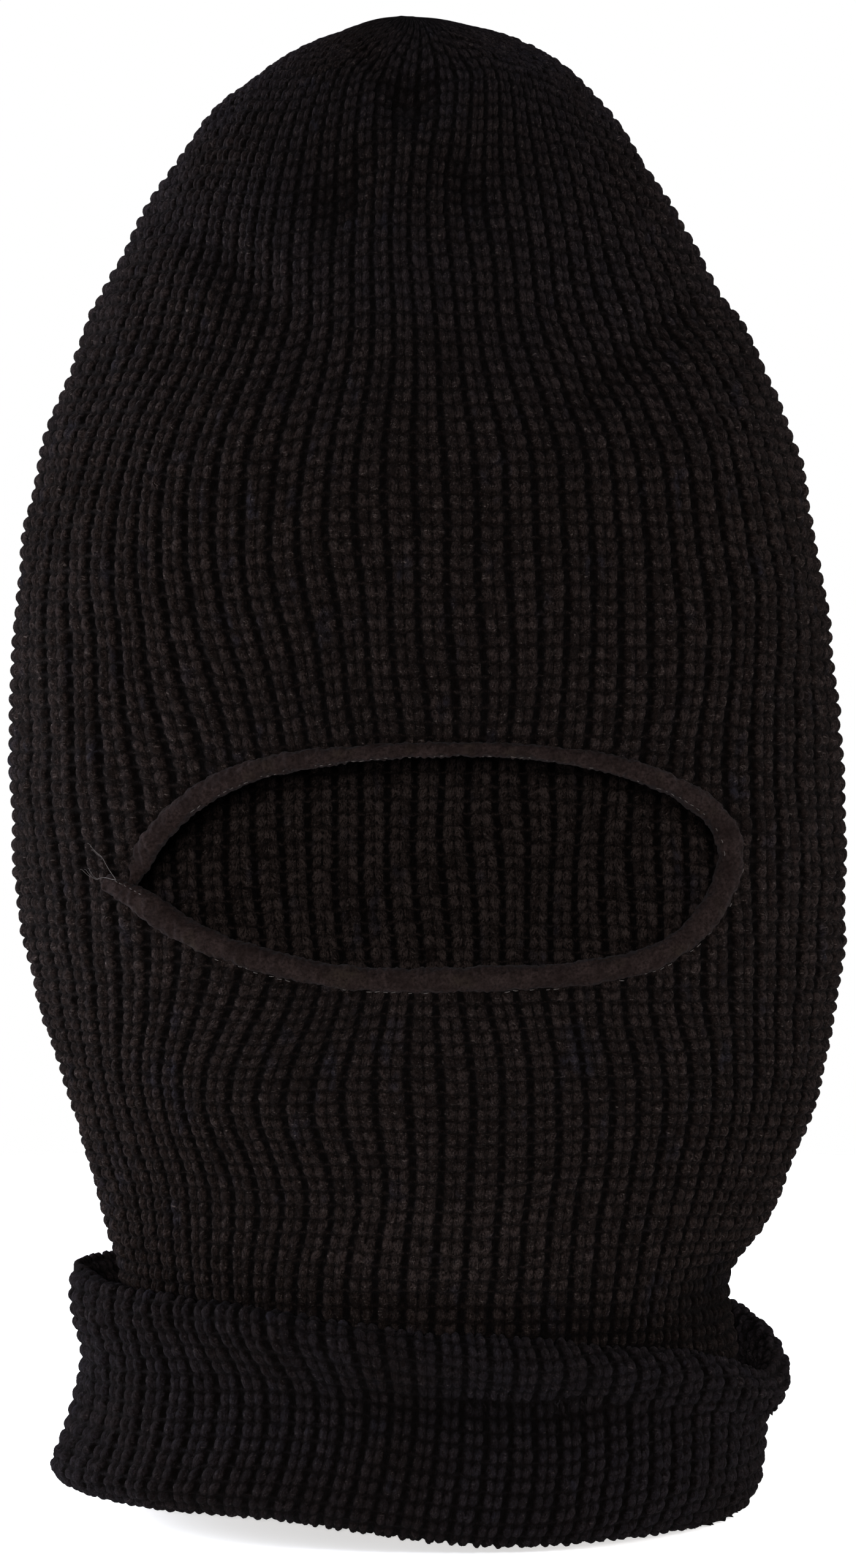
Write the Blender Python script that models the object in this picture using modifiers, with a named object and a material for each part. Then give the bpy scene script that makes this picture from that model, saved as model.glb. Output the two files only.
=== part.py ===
"""A one-hole knitted balaclava, filled out softly and standing on its turned-up neck cuff.

Metres, +Z up, the face looking along -Y. The origin is the middle of the footprint, on the ground.
"""

import math

import bmesh
import bpy
from mathutils import Vector

# Driving dimensions
HEIGHT = 0.366  # ground to the top of the crown
KNIT_WALL = 0.004  # thickness of the rib knit
SECTION_POWER = 2.2  # 2 is an ellipse; a little more is a softly filled tube
GAP = 0.0004  # clearance between neighbouring pieces

# The hood from the top down: drop below the crown's top, half width, half depth, sideways shift
HOOD_STATIONS = (
    (0.0000, 0.0000, 0.0000, -0.0055),
    (0.0056, 0.0223, 0.0150, -0.0010),
    (0.0150, 0.0397, 0.0240, -0.0024),
    (0.0340, 0.0560, 0.0325, -0.0039),
    (0.0530, 0.0672, 0.0385, -0.0042),
    (0.0815, 0.0826, 0.0445, -0.0030),
    (0.1200, 0.0957, 0.0500, -0.0026),
    (0.1580, 0.1005, 0.0520, -0.0010),
    (0.2060, 0.1019, 0.0525, 0.0003),
    (0.2450, 0.0976, 0.0505, 0.0023),
    (0.2830, 0.0853, 0.0445, 0.0040),
    (0.3110, 0.0755, 0.0415, 0.0006),
    (0.3600, 0.0750, 0.0415, 0.0005),
)
HOOD_RINGS = 26
HOOD_SIDES = 40
RING_CROWDING = 0.7  # under 1 draws the rings closer together near the crown

# The face opening seen from the front, (x, z) round the inner edge of its binding, from the left corner
OPENING_OUTLINE = (
    (-0.0695, 0.1595),
    (-0.0580, 0.1735),
    (-0.0420, 0.1825),
    (-0.0200, 0.1867),
    (0.0040, 0.1883),
    (0.0280, 0.1873),
    (0.0520, 0.1816),
    (0.0660, 0.1743),
    (0.0717, 0.1655),
    (0.0675, 0.1540),
    (0.0550, 0.1434),
    (0.0340, 0.1394),
    (0.0040, 0.1381),
    (-0.0240, 0.1393),
    (-0.0465, 0.1448),
    (-0.0620, 0.1510),
)
OUTLINE_STEPS = 4  # points that a curve gets between two outline points

# Face binding and its sewing
BINDING_RADIUS = 0.0028
BINDING_DEPTH = 0.0020  # its middle lies this far under the hood's outer face
THREAD_RADIUS = 0.0003
NEEDLE_THREAD_OUT = 0.0011  # the stitches lie this far beyond the binding's outer edge
NEEDLE_THREAD_HEIGHT = 0.0009  # and this far above the hood's outer face
BOBBIN_THREAD_DEPTH = 0.0053  # under the outer face, so just inside the wall
TACK_SIZE = (0.0012, 0.0050, 0.0034)  # thickness, length, width
TACK_BEVEL = 0.0004

# Closure of the crown
CLOSURE_AT = (-0.0045, 0.3440)  # x and z on the front of the crown
CLOSURE_DEPTH = 0.0080
GATHER_RADIUS = 0.0040
GATHER_YARN_RADIUS = 0.0010

# Neck cuff
CUFF_HALF_WIDTH = 0.0890
CUFF_HALF_DEPTH = 0.0540
CUFF_SHIFT_X = -0.0010
CUFF_SIDES = 44
RIM_HEIGHT = 0.0530
RIM_SLOPE = 0.0080  # the rim is this much higher on the left and lower on the right
RIM_DIP = 0.0090  # and it sags by this much more at the far right
CUFF_PLY = 0.0086  # the turned-up knit, two layers thick
CUFF_FLANGE = 0.0180  # the fold reaches this far in, under the neck
CUFF_FLANGE_HEIGHT = 0.0048
BINDOFF_RADIUS = 0.0008
BINDOFF_IN = 0.0106  # in from the cuff's outer face
BINDOFF_HEIGHT = 0.0140

FABRIC_BLACK = (0.0150, 0.0130, 0.0130, 1.0)
BINDING_BLACK = (0.0200, 0.0150, 0.0150, 1.0)
THREAD_BLACK = (0.0250, 0.0210, 0.0210, 1.0)
TAIL_GREY = (0.1600, 0.1550, 0.1500, 1.0)


def clear_scene():
    for obj in list(bpy.data.objects):
        bpy.data.objects.remove(obj, do_unlink=True)


def new_collection(name):
    collection = bpy.data.collections.new(name)
    bpy.context.scene.collection.children.link(collection)
    return collection


def new_material(name, colour, roughness):
    material = bpy.data.materials.new(name)
    material.use_nodes = True
    shader = material.node_tree.nodes["Principled BSDF"]
    shader.inputs["Base Color"].default_value = colour
    shader.inputs["Roughness"].default_value = roughness
    shader.inputs["Metallic"].default_value = 0.0
    material.diffuse_color = colour
    return material


def add_object(name, data, collection, material):
    obj = bpy.data.objects.new(name, data)
    data.materials.append(material)
    collection.objects.link(obj)
    return obj


def mesh_from(name, bm, smooth=True):
    bmesh.ops.recalc_face_normals(bm, faces=bm.faces)
    mesh = bpy.data.meshes.new(name)
    bm.to_mesh(mesh)
    bm.free()
    if smooth:
        mesh.shade_smooth()
    return mesh


def through(values, t):
    """Catmull-Rom value at t in 0..1 of the middle stretch of four values."""
    p0, p1, p2, p3 = values
    return 0.5 * (
        2 * p1
        + (p2 - p0) * t
        + (2 * p0 - 5 * p1 + 4 * p2 - p3) * t * t
        + (3 * p1 - p0 - 3 * p2 + p3) * t ** 3
    )


def hood_section(z):
    """Half width, half depth and sideways shift of the hood's outer face at height z.

    The stations are joined over the square root of the drop, which rounds the crown's top.
    """
    roots = [math.sqrt(station[0]) for station in HOOD_STATIONS]
    root = min(max(math.sqrt(max(HEIGHT - z, 0.0)), roots[0]), roots[-1])
    last = len(roots) - 1
    k = max(i for i in range(last) if roots[i] <= root)
    t = (root - roots[k]) / (roots[k + 1] - roots[k])
    near = [HOOD_STATIONS[min(max(i, 0), last)] for i in (k - 1, k, k + 1, k + 2)]
    half_width, half_depth, shift = (through([s[n] for s in near], t) for n in (1, 2, 3))
    return max(half_width, 0.0), max(half_depth, 0.0), shift


def section_point(half_width, half_depth, angle):
    """A point of a softly squared ellipse."""
    c, s = math.cos(angle), math.sin(angle)
    power = 2 / SECTION_POWER
    x = math.copysign(abs(c) ** power, c) * half_width
    y = math.copysign(abs(s) ** power, s) * half_depth
    return x, y


def front_point(x, z, depth=0.0):
    """The point of the hood's front face at (x, z), moved inwards by depth along the face's normal."""
    def on_face(px, pz):
        half_width, half_depth, shift = hood_section(pz)
        across = min(abs((px - shift) / half_width), 0.999)
        return Vector((px, -half_depth * (1 - across ** SECTION_POWER) ** (1 / SECTION_POWER), pz))

    step = 0.0005
    along_x = on_face(x + step, z) - on_face(x - step, z)
    along_z = on_face(x, z + step) - on_face(x, z - step)
    outward = along_x.cross(along_z).normalized()
    return on_face(x, z) - outward * depth, outward


def smooth_outline():
    """The opening's outline with curves between its points; the left corner, its first point, stays sharp."""
    corners = [Vector(p) for p in OPENING_OUTLINE]
    count = len(corners)
    points = []
    for i in range(count):
        before = corners[i] if i == 0 else corners[i - 1]
        after = corners[0] if i == count - 1 else corners[(i + 2) % count]
        four = (before, corners[i], corners[(i + 1) % count], after)
        points += [through(four, step / OUTLINE_STEPS) for step in range(OUTLINE_STEPS)]
    return points


def grown_outline(distance):
    """The opening's outline moved outwards in the XZ plane."""
    points = smooth_outline()
    count = len(points)
    grown = []
    for i, point in enumerate(points):
        along = points[(i + 1) % count] - points[i - 1]
        outward = Vector((-along.y, along.x)).normalized()
        grown.append(point + outward * distance)
    return grown


def ring_on_face(distance, depth):
    """A closed route round the opening: distance out from the binding's inner edge, depth under the face."""
    return [front_point(p.x, p.y, depth)[0] for p in grown_outline(distance)]


def tube(name, points, radius, collection, material, closed=False):
    """A round tube along the points."""
    curve = bpy.data.curves.new(name, "CURVE")
    curve.dimensions = "3D"
    curve.bevel_depth = radius
    curve.bevel_resolution = 2
    curve.use_fill_caps = not closed
    spline = curve.splines.new("POLY")
    spline.points.add(len(points) - 1)
    for spot, point in zip(spline.points, points):
        spot.co = (*point, 1.0)
    spline.use_cyclic_u = closed
    spline.use_smooth = True
    return add_object(name, curve, collection, material)


def hood_surface():
    """The hood's outer face: rings of the loft from the neck's open end to the crown's top."""
    bm = bmesh.new()
    deepest = math.sqrt(HOOD_STATIONS[-1][0])
    rings = []
    for i in range(HOOD_RINGS):
        root = deepest * (1 - i / HOOD_RINGS) ** RING_CROWDING
        z = HEIGHT - root * root
        half_width, half_depth, shift = hood_section(z)
        ring = []
        for k in range(HOOD_SIDES):
            x, y = section_point(half_width, half_depth, math.tau * k / HOOD_SIDES)
            ring.append(bm.verts.new((x + shift, y, z)))
        rings.append(ring)
    top = bm.verts.new((HOOD_STATIONS[0][3], 0.0, HEIGHT))
    for lower, upper in zip(rings, rings[1:]):
        for k in range(HOOD_SIDES):
            n = (k + 1) % HOOD_SIDES
            bm.faces.new((lower[k], lower[n], upper[n], upper[k]))
    for k in range(HOOD_SIDES):
        bm.faces.new((rings[-1][k], rings[-1][(k + 1) % HOOD_SIDES], top))
    return mesh_from("knit_hood", bm)


def opening_cutter(cutters, material):
    """A block with the outline of the whole opening, binding included, through the front wall only."""
    reach = 2 * BINDING_RADIUS + GAP
    outline = grown_outline(reach)
    bm = bmesh.new()
    front = [bm.verts.new((p.x, -CUFF_HALF_DEPTH - KNIT_WALL, p.y)) for p in outline]
    face = bm.faces.new(front)
    pushed = bmesh.ops.extrude_face_region(bm, geom=[face])["geom"]
    moved = [v for v in pushed if isinstance(v, bmesh.types.BMVert)]
    bmesh.ops.translate(bm, verts=moved, vec=(0.0, CUFF_HALF_DEPTH, 0.0))
    cutter = add_object("opening_cutter", mesh_from("opening_cutter", bm, False), cutters, material)
    cutter.hide_render = True
    cutter.display_type = "WIRE"
    return cutter


def make_hood(parts, cutters, material):
    hood = add_object("knit_hood", hood_surface(), parts, material)
    wall = hood.modifiers.new("wall", "SOLIDIFY")
    wall.thickness = KNIT_WALL
    wall.offset = -1.0
    wall.use_even_offset = True
    cut = hood.modifiers.new("face_opening", "BOOLEAN")
    cut.operation = "DIFFERENCE"
    cut.solver = "EXACT"
    cut.object = opening_cutter(cutters, material)


def make_binding(parts, tape, thread, tail):
    route = ring_on_face(BINDING_RADIUS, BINDING_DEPTH)
    tube("face_binding", route, BINDING_RADIUS, parts, tape, closed=True)
    needle_route = ring_on_face(2 * BINDING_RADIUS + NEEDLE_THREAD_OUT, -NEEDLE_THREAD_HEIGHT)
    tube("binding_needle_thread", needle_route, THREAD_RADIUS, parts, thread, closed=True)
    bobbin_route = ring_on_face(2 * BINDING_RADIUS + NEEDLE_THREAD_OUT, BOBBIN_THREAD_DEPTH)
    tube("binding_bobbin_thread", bobbin_route, THREAD_RADIUS, parts, thread, closed=True)
    make_tack(parts, thread)
    make_tails(parts, tail)


def make_tack(parts, material):
    """The block of stitches over the tape's overlapped ends, flat on the binding at its left corner."""
    corner_x, corner_z = OPENING_OUTLINE[0]
    thickness = TACK_SIZE[0]
    height = BINDING_RADIUS - BINDING_DEPTH + GAP + thickness / 2
    middle, outward = front_point(corner_x - BINDING_RADIUS, corner_z, -height)
    bm = bmesh.new()
    bmesh.ops.create_cube(bm, size=1.0)
    bmesh.ops.scale(bm, vec=(TACK_SIZE[2], TACK_SIZE[1], thickness), verts=bm.verts)
    tack = add_object("binding_corner_tack", mesh_from("binding_corner_tack", bm), parts, material)
    tack.location = middle
    tack.rotation_euler = outward.to_track_quat("Z", "Y").to_euler()
    bevel = tack.modifiers.new("bevel", "BEVEL")
    bevel.width = TACK_BEVEL
    bevel.segments = 2


def make_tails(parts, material):
    """The two loose thread ends, lying on the knit to the left of the corner."""
    tails = (
        ("binding_thread_tail_upper", ((-0.0772, 0.1640), (-0.0800, 0.1668), (-0.0823, 0.1702), (-0.0850, 0.1728))),
        ("binding_thread_tail_lower", ((-0.0778, 0.1588), (-0.0804, 0.1606), (-0.0832, 0.1612), (-0.0858, 0.1630))),
    )
    for name, spots in tails:
        route = [front_point(x, z, -NEEDLE_THREAD_HEIGHT)[0] for x, z in spots]
        tube(name, route, THREAD_RADIUS, parts, material)


def make_crown_gather(parts, material):
    """The drawn-in yarn behind the crown's closure."""
    middle, outward = front_point(*CLOSURE_AT, CLOSURE_DEPTH)
    side = outward.orthogonal().normalized()
    up = outward.cross(side)
    turns = [math.tau * k / 24 for k in range(24)]
    route = [middle + (side * math.cos(a) + up * math.sin(a)) * GATHER_RADIUS for a in turns]
    tube("crown_gather_yarn", route, GATHER_YARN_RADIUS, parts, material, closed=True)


def rim_height(angle):
    """Height of the cuff's rim: highest at the left, sagging open at the far right."""
    c = math.cos(angle)
    return RIM_HEIGHT - RIM_SLOPE * c - RIM_DIP * max(c, 0.0) ** 5


def cuff_section(angle):
    """The cuff's section at an angle, as (distance in from the outer outline, height), a closed loop."""
    top = rim_height(angle)
    under = 0.0020 + 0.0050 * max(math.cos(angle), 0.0) ** 3
    return (
        (under, 0.0),
        (under / 3, 0.0040),
        (0.0018, 0.45 * top),
        (0.0010, top - 0.0140),
        (0.0000, top - 0.0070),
        (0.0010, top - 0.0024),
        (0.0040, top),
        (0.0068, top - 0.0016),
        (CUFF_PLY - 0.0002, top - 0.0060),
        (CUFF_PLY, CUFF_FLANGE_HEIGHT),
        (CUFF_FLANGE, CUFF_FLANGE_HEIGHT),
        (CUFF_FLANGE, 0.0),
    )


def cuff_point(inward, angle, z):
    x, y = section_point(CUFF_HALF_WIDTH - inward, CUFF_HALF_DEPTH - inward, angle)
    return Vector((x + CUFF_SHIFT_X, y, z))


def make_cuff(parts, material):
    """The turned-up cuff: its section carried round the neck."""
    bm = bmesh.new()
    loops = []
    for k in range(CUFF_SIDES):
        angle = math.tau * k / CUFF_SIDES
        loops.append([bm.verts.new(cuff_point(inward, angle, z)) for inward, z in cuff_section(angle)])
    for k, loop in enumerate(loops):
        beside = loops[(k + 1) % CUFF_SIDES]
        for i in range(len(loop)):
            n = (i + 1) % len(loop)
            bm.faces.new((loop[i], beside[i], beside[n], loop[n]))
    add_object("neck_cuff", mesh_from("neck_cuff", bm), parts, material)
    route = [cuff_point(BINDOFF_IN, math.tau * k / CUFF_SIDES, BINDOFF_HEIGHT) for k in range(CUFF_SIDES)]
    tube("cuff_bindoff_edge", route, BINDOFF_RADIUS, parts, material, closed=True)


def main():
    clear_scene()
    parts = new_collection("balaclava")
    cutters = new_collection("balaclava_cutters")
    knit = new_material("rib_knit", FABRIC_BLACK, 0.9)
    tape = new_material("binding_tape", BINDING_BLACK, 0.85)
    thread = new_material("sewing_thread", THREAD_BLACK, 0.6)
    tail = new_material("loose_thread", TAIL_GREY, 0.6)
    make_hood(parts, cutters, knit)
    make_binding(parts, tape, thread, tail)
    make_crown_gather(parts, knit)
    make_cuff(parts, knit)
    cutters.hide_render = True


main()
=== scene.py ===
"""Looks of the rib-knit balaclava: knitted hood, folded neck cuff, bound face opening and its threads.

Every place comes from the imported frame: the knitted shells follow the outer shapes of the CAD nodes
knit_hood and neck_cuff, and the binding follows the outline of the CAD node face_binding.
All lengths are in metres, +Z up, and -Y is the front.
"""

import math

import bpy
import numpy as np
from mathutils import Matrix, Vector
from mathutils.bvhtree import BVHTree


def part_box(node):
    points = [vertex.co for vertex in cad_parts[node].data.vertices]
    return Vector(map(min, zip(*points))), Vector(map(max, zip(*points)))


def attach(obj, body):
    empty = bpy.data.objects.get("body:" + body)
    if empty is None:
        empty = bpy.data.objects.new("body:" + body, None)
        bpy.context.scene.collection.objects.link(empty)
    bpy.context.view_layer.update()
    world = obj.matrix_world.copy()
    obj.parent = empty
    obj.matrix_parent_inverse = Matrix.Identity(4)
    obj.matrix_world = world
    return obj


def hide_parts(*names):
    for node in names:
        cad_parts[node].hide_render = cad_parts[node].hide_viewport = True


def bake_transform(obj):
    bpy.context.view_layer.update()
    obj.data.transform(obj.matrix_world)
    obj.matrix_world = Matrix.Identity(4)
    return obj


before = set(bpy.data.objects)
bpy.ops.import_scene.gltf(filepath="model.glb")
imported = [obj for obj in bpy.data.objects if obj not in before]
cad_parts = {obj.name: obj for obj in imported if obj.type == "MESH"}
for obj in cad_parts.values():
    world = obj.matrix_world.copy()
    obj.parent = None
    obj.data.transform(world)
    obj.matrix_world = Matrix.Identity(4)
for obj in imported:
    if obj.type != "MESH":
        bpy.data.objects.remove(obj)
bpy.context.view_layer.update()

# ---- camera ----
CAMERA_DISTANCE = 1.20
CAMERA_ELEVATION = math.radians(3.0)
CAMERA_TARGET = (0.0, 0.0, 0.1792)
CAMERA_LENS = 112.5  # mm, on a sensor 36 mm long

AMBIENT = 0.04  # how strongly the white room lights the object
FLOOR_GLOW = 0.42  # light that the floor gives off, so that it shows almost white
FLOOR_RADIUS = 0.70
# name, place, size, power in watts and colour; all of them point at LIGHT_TARGET
LIGHTS = (
    ("key_front", (-0.03, -1.75, 0.33), 0.14, 42.0, (1.0, 0.955, 0.925)),
    ("top_front", (-0.25, -0.50, 1.45), 0.5, 6.0, (0.80, 0.86, 1.0)),
    ("side_left", (-1.20, 0.20, 0.42), 0.8, 58.0, (0.88, 0.91, 1.0)),
    ("side_right", (1.25, 0.20, 0.45), 0.8, 24.0, (1.0, 0.99, 1.0)),
)
LIGHT_TARGET = (0.0, 0.0, 0.19)

# ---- the knit ----
WALES = 72  # ribs round the hood
COURSE = 0.0036  # height of one row of stitches
COLUMNS = 10  # mesh columns in a wale
ROWS = 6  # mesh rows in a course
WALL = 0.0040  # thickness of the fabric
LEG_RISE = 0.0021  # how far a stitch stands out of the groove between two ribs
PROUD = 0.0005  # how far the stitches' tops stand out of the CAD surface
LEG_AT = 0.205  # a leg's middle, as a share of the wale from the wale's middle
LEG_HALF = 0.210  # half the width of a leg
LEG_JITTER = 0.048  # how far a stitch strays sideways
CREASE = 0.34  # height of the crease between a wale's two legs, as a share of the rise
CREASE_REACH = (0.13, 0.02)  # where the crease ends and where it is full, across from the wale's middle
CREASE_FALL = 0.45  # how much lower the crease is between two beads
V_SLOPE = 0.45  # how many courses a leg climbs across a whole wale
BEAD_PINCH = 0.92  # how much a leg narrows between two beads
BEAD_ROUND = 2.2  # power of that narrowing: higher is blunter
TIP_JITTER = 0.12  # how far a bead strays up or down
BRIDGE = 0.44  # height of the yarn that crosses the grooves between two courses
BRIDGE_FROM = 0.35  # where it starts, from a bead's middle (0) to its tip (1)
UNEVEN = 0.22  # how much one stitch differs from the next in height

# ---- the hood ----
SECTION_POWER = 2.2  # of the superelliptic sections
GIRTH_DEPTH = 0.53  # depth over width of the section by which the wales are spread
PROFILE_SAMPLES = 160
PROFILE_FIRST = 0.02  # the first root of the drop that is measured
PROFILE_SMOOTHING = 0.016  # in root-of-drop units
POLE_ROOT = 0.008  # root of the drop at the last ring of stitches round the top

# ---- colours (linear) ----
# The groove colour is painted shade: the grooves between the stitches and the deepest folds are darkened
# towards it. The edge yarn uses it as its dark.
YARN_GROOVE_SHADE = (0.0008, 0.0005, 0.0004)
YARN_DARK = (0.0022, 0.0014, 0.0012)
YARN_LIGHT = (0.0124, 0.0088, 0.0081)
YARN_INSIDE_PAINTED_LIGHT = (0.0190, 0.0140, 0.0130)  # painted light: the lightest yarn of the hood's inner face, painted lighter than the outer face's
YARN_FIBRE_GLINT = (0.0480, 0.0390, 0.0365)  # painted highlights on fibres that catch the light
YARN_COOL = (0.0078, 0.0078, 0.0115)
TAPE_DARK = (0.0034, 0.0022, 0.0020)
TAPE_LIGHT = (0.0124, 0.0085, 0.0081)
TAPE_OLIVE = (0.0090, 0.0070, 0.0048)
CROWN_COOL_LIGHT = 0.55  # how bluish the yarn is at the crown: painted cool light from above
COOL_CUFF = 0.34  # and on the cuff
CUFF_PAINTED_SHADE_TONE = 0.42  # painted shade: how light the cuff's yarn is painted against the hood's
INSIDE_PAINTED_LIGHT = 1.35  # painted light: how much lighter the yarn of the hood's inner face is painted
THREAD_DARK = (0.0250, 0.0215, 0.0205)
THREAD_GREY = (0.0500, 0.0450, 0.0430)
THREAD_PALE = (0.0480, 0.0440, 0.0430)


# ---- small helpers ----
def smooth_step(value, low, high):
    """0 below low, 1 above high, and a smooth ramp between them; low may be above high."""
    share = np.clip((value - low) / (high - low), 0.0, 1.0)
    return share * share * (3.0 - 2.0 * share)


def bump(value, middle, width):
    """1 at the middle, falling off smoothly to both sides over about the width."""
    return np.exp(-(((value - middle) / width) ** 2))


def signed_power(value, power):
    return np.sign(value) * np.abs(value) ** power


def unit(vectors):
    """The vectors of an array, each brought to a length of 1."""
    return vectors / np.maximum(np.linalg.norm(vectors, axis=-1, keepdims=True), 1e-12)


def circle(sides):
    """Cosines and sines of even steps round a circle."""
    angle = np.arange(sides) * 2 * math.pi / sides
    return np.cos(angle), np.sin(angle)


def running_total(steps):
    """Sums along the first axis, starting from zero."""
    return np.concatenate([np.zeros_like(steps[:1]), np.cumsum(steps, axis=0)])


def soften(values, passes):
    """Draws each value of a line, but its ends, towards its neighbours, pass by pass."""
    for _ in range(passes):
        values[1:-1] = (values[:-2] + 2 * values[1:-1] + values[2:]) / 4
    return values


def cad_tree(node):
    """A tree for casting rays at a CAD node."""
    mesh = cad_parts[node].data
    mesh.calc_loop_triangles()
    points = [v.co.copy() for v in mesh.vertices]
    return BVHTree.FromPolygons(points, [tuple(t.vertices) for t in mesh.loop_triangles])


def cast(tree, start, direction):
    """Where a ray first meets the tree."""
    return tree.ray_cast(Vector(start), Vector(direction))[0]


def middle_and_half(node):
    """The middle of a CAD node's box, and half its size."""
    low, high = (np.array(corner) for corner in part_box(node))
    return (low + high) / 2, (high - low) / 2


def ripple(points, wavelength, seed, count=7):
    """Smooth irregular waves over an array of points, about -1 to 1."""
    source = np.random.default_rng(seed)
    total = np.zeros(points.shape[:-1])
    for _ in range(count):
        direction = source.normal(size=3)
        direction /= np.linalg.norm(direction)
        length = wavelength * source.uniform(0.7, 1.5)
        total += np.sin(points @ direction * (2 * math.pi / length) + source.uniform(0, 2 * math.pi))
    return total / math.sqrt(count)


def gaussian_smooth(values, step, width):
    """Smooths samples taken at equal steps, keeping a straight line straight at the ends."""
    reach = int(3 * width / step)
    kernel = np.exp(-0.5 * (np.arange(-reach, reach + 1) * step / width) ** 2)
    kernel /= kernel.sum()
    before = 2 * values[0] - values[reach:0:-1]
    after = 2 * values[-1] - values[-2:-reach - 2:-1]
    return np.convolve(np.concatenate([before, values, after]), kernel, "valid")


def grid_normals(points, closed=False):
    """Outward unit normals of a grid that closes round its second axis, or round both."""
    around = np.roll(points, -1, axis=1) - np.roll(points, 1, axis=1)
    if closed:
        upward = np.roll(points, -1, axis=0) - np.roll(points, 1, axis=0)
    else:
        upward = np.gradient(points, axis=0)
    return unit(np.cross(around, upward))


# ---- stitches ----
TABLE_COURSES = 131  # courses after which the chances repeat
TABLE_SEED = 20
STITCH_TABLE = np.random.default_rng(TABLE_SEED).uniform(-1.0, 1.0, (2 * WALES, TABLE_COURSES, 3))
YARN_STEPS = (0.37, 0.13)  # by which the yarn's third coordinate differs between legs and stitches
NUDGE = 1e-6  # keeps a point on the line between two stitches on its own side


def knit(wale, course):
    """The height of the stitches (0 in a groove, 1 on a bead) and the yarn's own coordinates.

    The yarn coordinates are wales across from the wale's middle, courses along, and the leg's number.
    """
    across = wale_offset(wale)
    phase = course - V_SLOPE * across
    leg = np.floor(2.0 * wale + NUDGE).astype(int) % (2 * WALES)
    stitch = np.floor(phase + NUDGE).astype(int)
    chance = STITCH_TABLE[leg, stitch % TABLE_COURSES]
    along = np.clip(phase - stitch, 0.0, 1.0)
    side = (across - LEG_AT - LEG_JITTER * chance[..., 1]) / LEG_HALF
    tip = np.abs(2.0 * along - 1.0 - TIP_JITTER * chance[..., 2])
    bead = np.sqrt(np.clip(1.0 - side**2 - BEAD_PINCH * tip**BEAD_ROUND, 0.0, 1.0))
    crease = CREASE * smooth_step(across, *CREASE_REACH) * (1.0 - CREASE_FALL * tip**2)
    bridge = BRIDGE * smooth_step(tip, BRIDGE_FROM, 1.0)
    highest = np.maximum(np.maximum(bead, crease), bridge)
    height = highest * (1.0 - UNEVEN / 2 + UNEVEN / 2 * chance[..., 0])
    yarn = np.stack([across, phase, leg * YARN_STEPS[0] + stitch * YARN_STEPS[1]], axis=-1)
    return height, yarn


def wale_offset(wale):
    """Distance from the middle of the wale, 0 to 0.5 of its width."""
    return np.abs(wale % 1.0 - 0.5)


# ---- where each part of a piece lies in its bake layer, from low to high ----
BAKE_HOOD = ((0.000, 0.470), (0.480, 0.950))  # outer and inner face
BAKE_HOOD_CAPS = ((0.955, 0.965), (0.970, 0.980))  # their tops
BAKE_NECK = (0.985, 0.992)
BAKE_RIMS = (0.994, 0.999)
BAKE_LOOP = (0.0, 0.999)  # a piece that is one closed grid
BAKE_TUBE = (0.0, 0.94)
BAKE_TUBE_CAPS = ((0.95, 0.965), (0.97, 0.985))
BAKE_CELL = (0.94, 0.03)  # size and margin of one tube's patch in its cell


# ---- meshes from grids ----
def grid_faces(rows, columns, first, flip=False, closed_rows=False):
    """Quads of a grid that closes round its columns, with their (row, column) corner places."""
    row_count = rows if closed_rows else rows - 1
    j, i = np.meshgrid(np.arange(row_count), np.arange(columns), indexing="ij")
    j, i = j.ravel(), i.ravel()
    corner_j = np.stack([j, j, j + 1, j + 1], axis=1)
    corner_i = np.stack([i, i + 1, i + 1, i], axis=1)
    if flip:
        corner_j, corner_i = corner_j[:, ::-1], corner_i[:, ::-1]
    quads = first + (corner_j % rows) * columns + corner_i % columns
    return quads, corner_j, corner_i


def bake_square(corner_j, corner_i, rows, columns, low, high):
    """A patch of the bake layer, full width, from low to high."""
    return np.stack([corner_i / columns, low + (high - low) * corner_j / rows], axis=-1)


def make_mesh(name, points, faces, bakes, attributes=None):
    """An object from points, arrays of faces, their bake coordinates and named point attributes."""
    mesh = bpy.data.meshes.new(name)
    corner_counts = np.concatenate([np.full(len(f), f.shape[1]) for f in faces])
    corners = np.concatenate([f.ravel() for f in faces]).astype(np.int32)
    mesh.vertices.add(len(points))
    mesh.vertices.foreach_set("co", np.ascontiguousarray(points, np.float32).ravel())
    mesh.loops.add(len(corners))
    mesh.loops.foreach_set("vertex_index", corners)
    mesh.polygons.add(len(corner_counts))
    starts = np.concatenate([[0], np.cumsum(corner_counts)[:-1]]).astype(np.int32)
    mesh.polygons.foreach_set("loop_start", starts)
    mesh.update(calc_edges=True)
    layer = mesh.uv_layers.new(name="OFBake")
    flat = np.concatenate([b.reshape(-1, 2) for b in bakes]).astype(np.float32)
    layer.data.foreach_set("uv", flat.ravel())
    for key, values in (attributes or {}).items():
        kind = "FLOAT_VECTOR" if values.ndim == 2 else "FLOAT"
        attribute = mesh.attributes.new(key, kind, "POINT")
        field = "vector" if values.ndim == 2 else "value"
        attribute.data.foreach_set(field, np.ascontiguousarray(values, np.float32).ravel())
    mesh.validate()
    mesh.shade_smooth()
    thing = bpy.data.objects.new(name, mesh)
    bpy.context.scene.collection.objects.link(thing)
    return thing


# ---- the hood's shape ----
HOOD_TREE = cad_tree("knit_hood")
HOOD_LOW, HOOD_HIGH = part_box("knit_hood")
TOP = HOOD_HIGH.z
BOTTOM_ROOT = math.sqrt(TOP - HOOD_LOW.z)
FAR = 1.0  # where rays start


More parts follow.
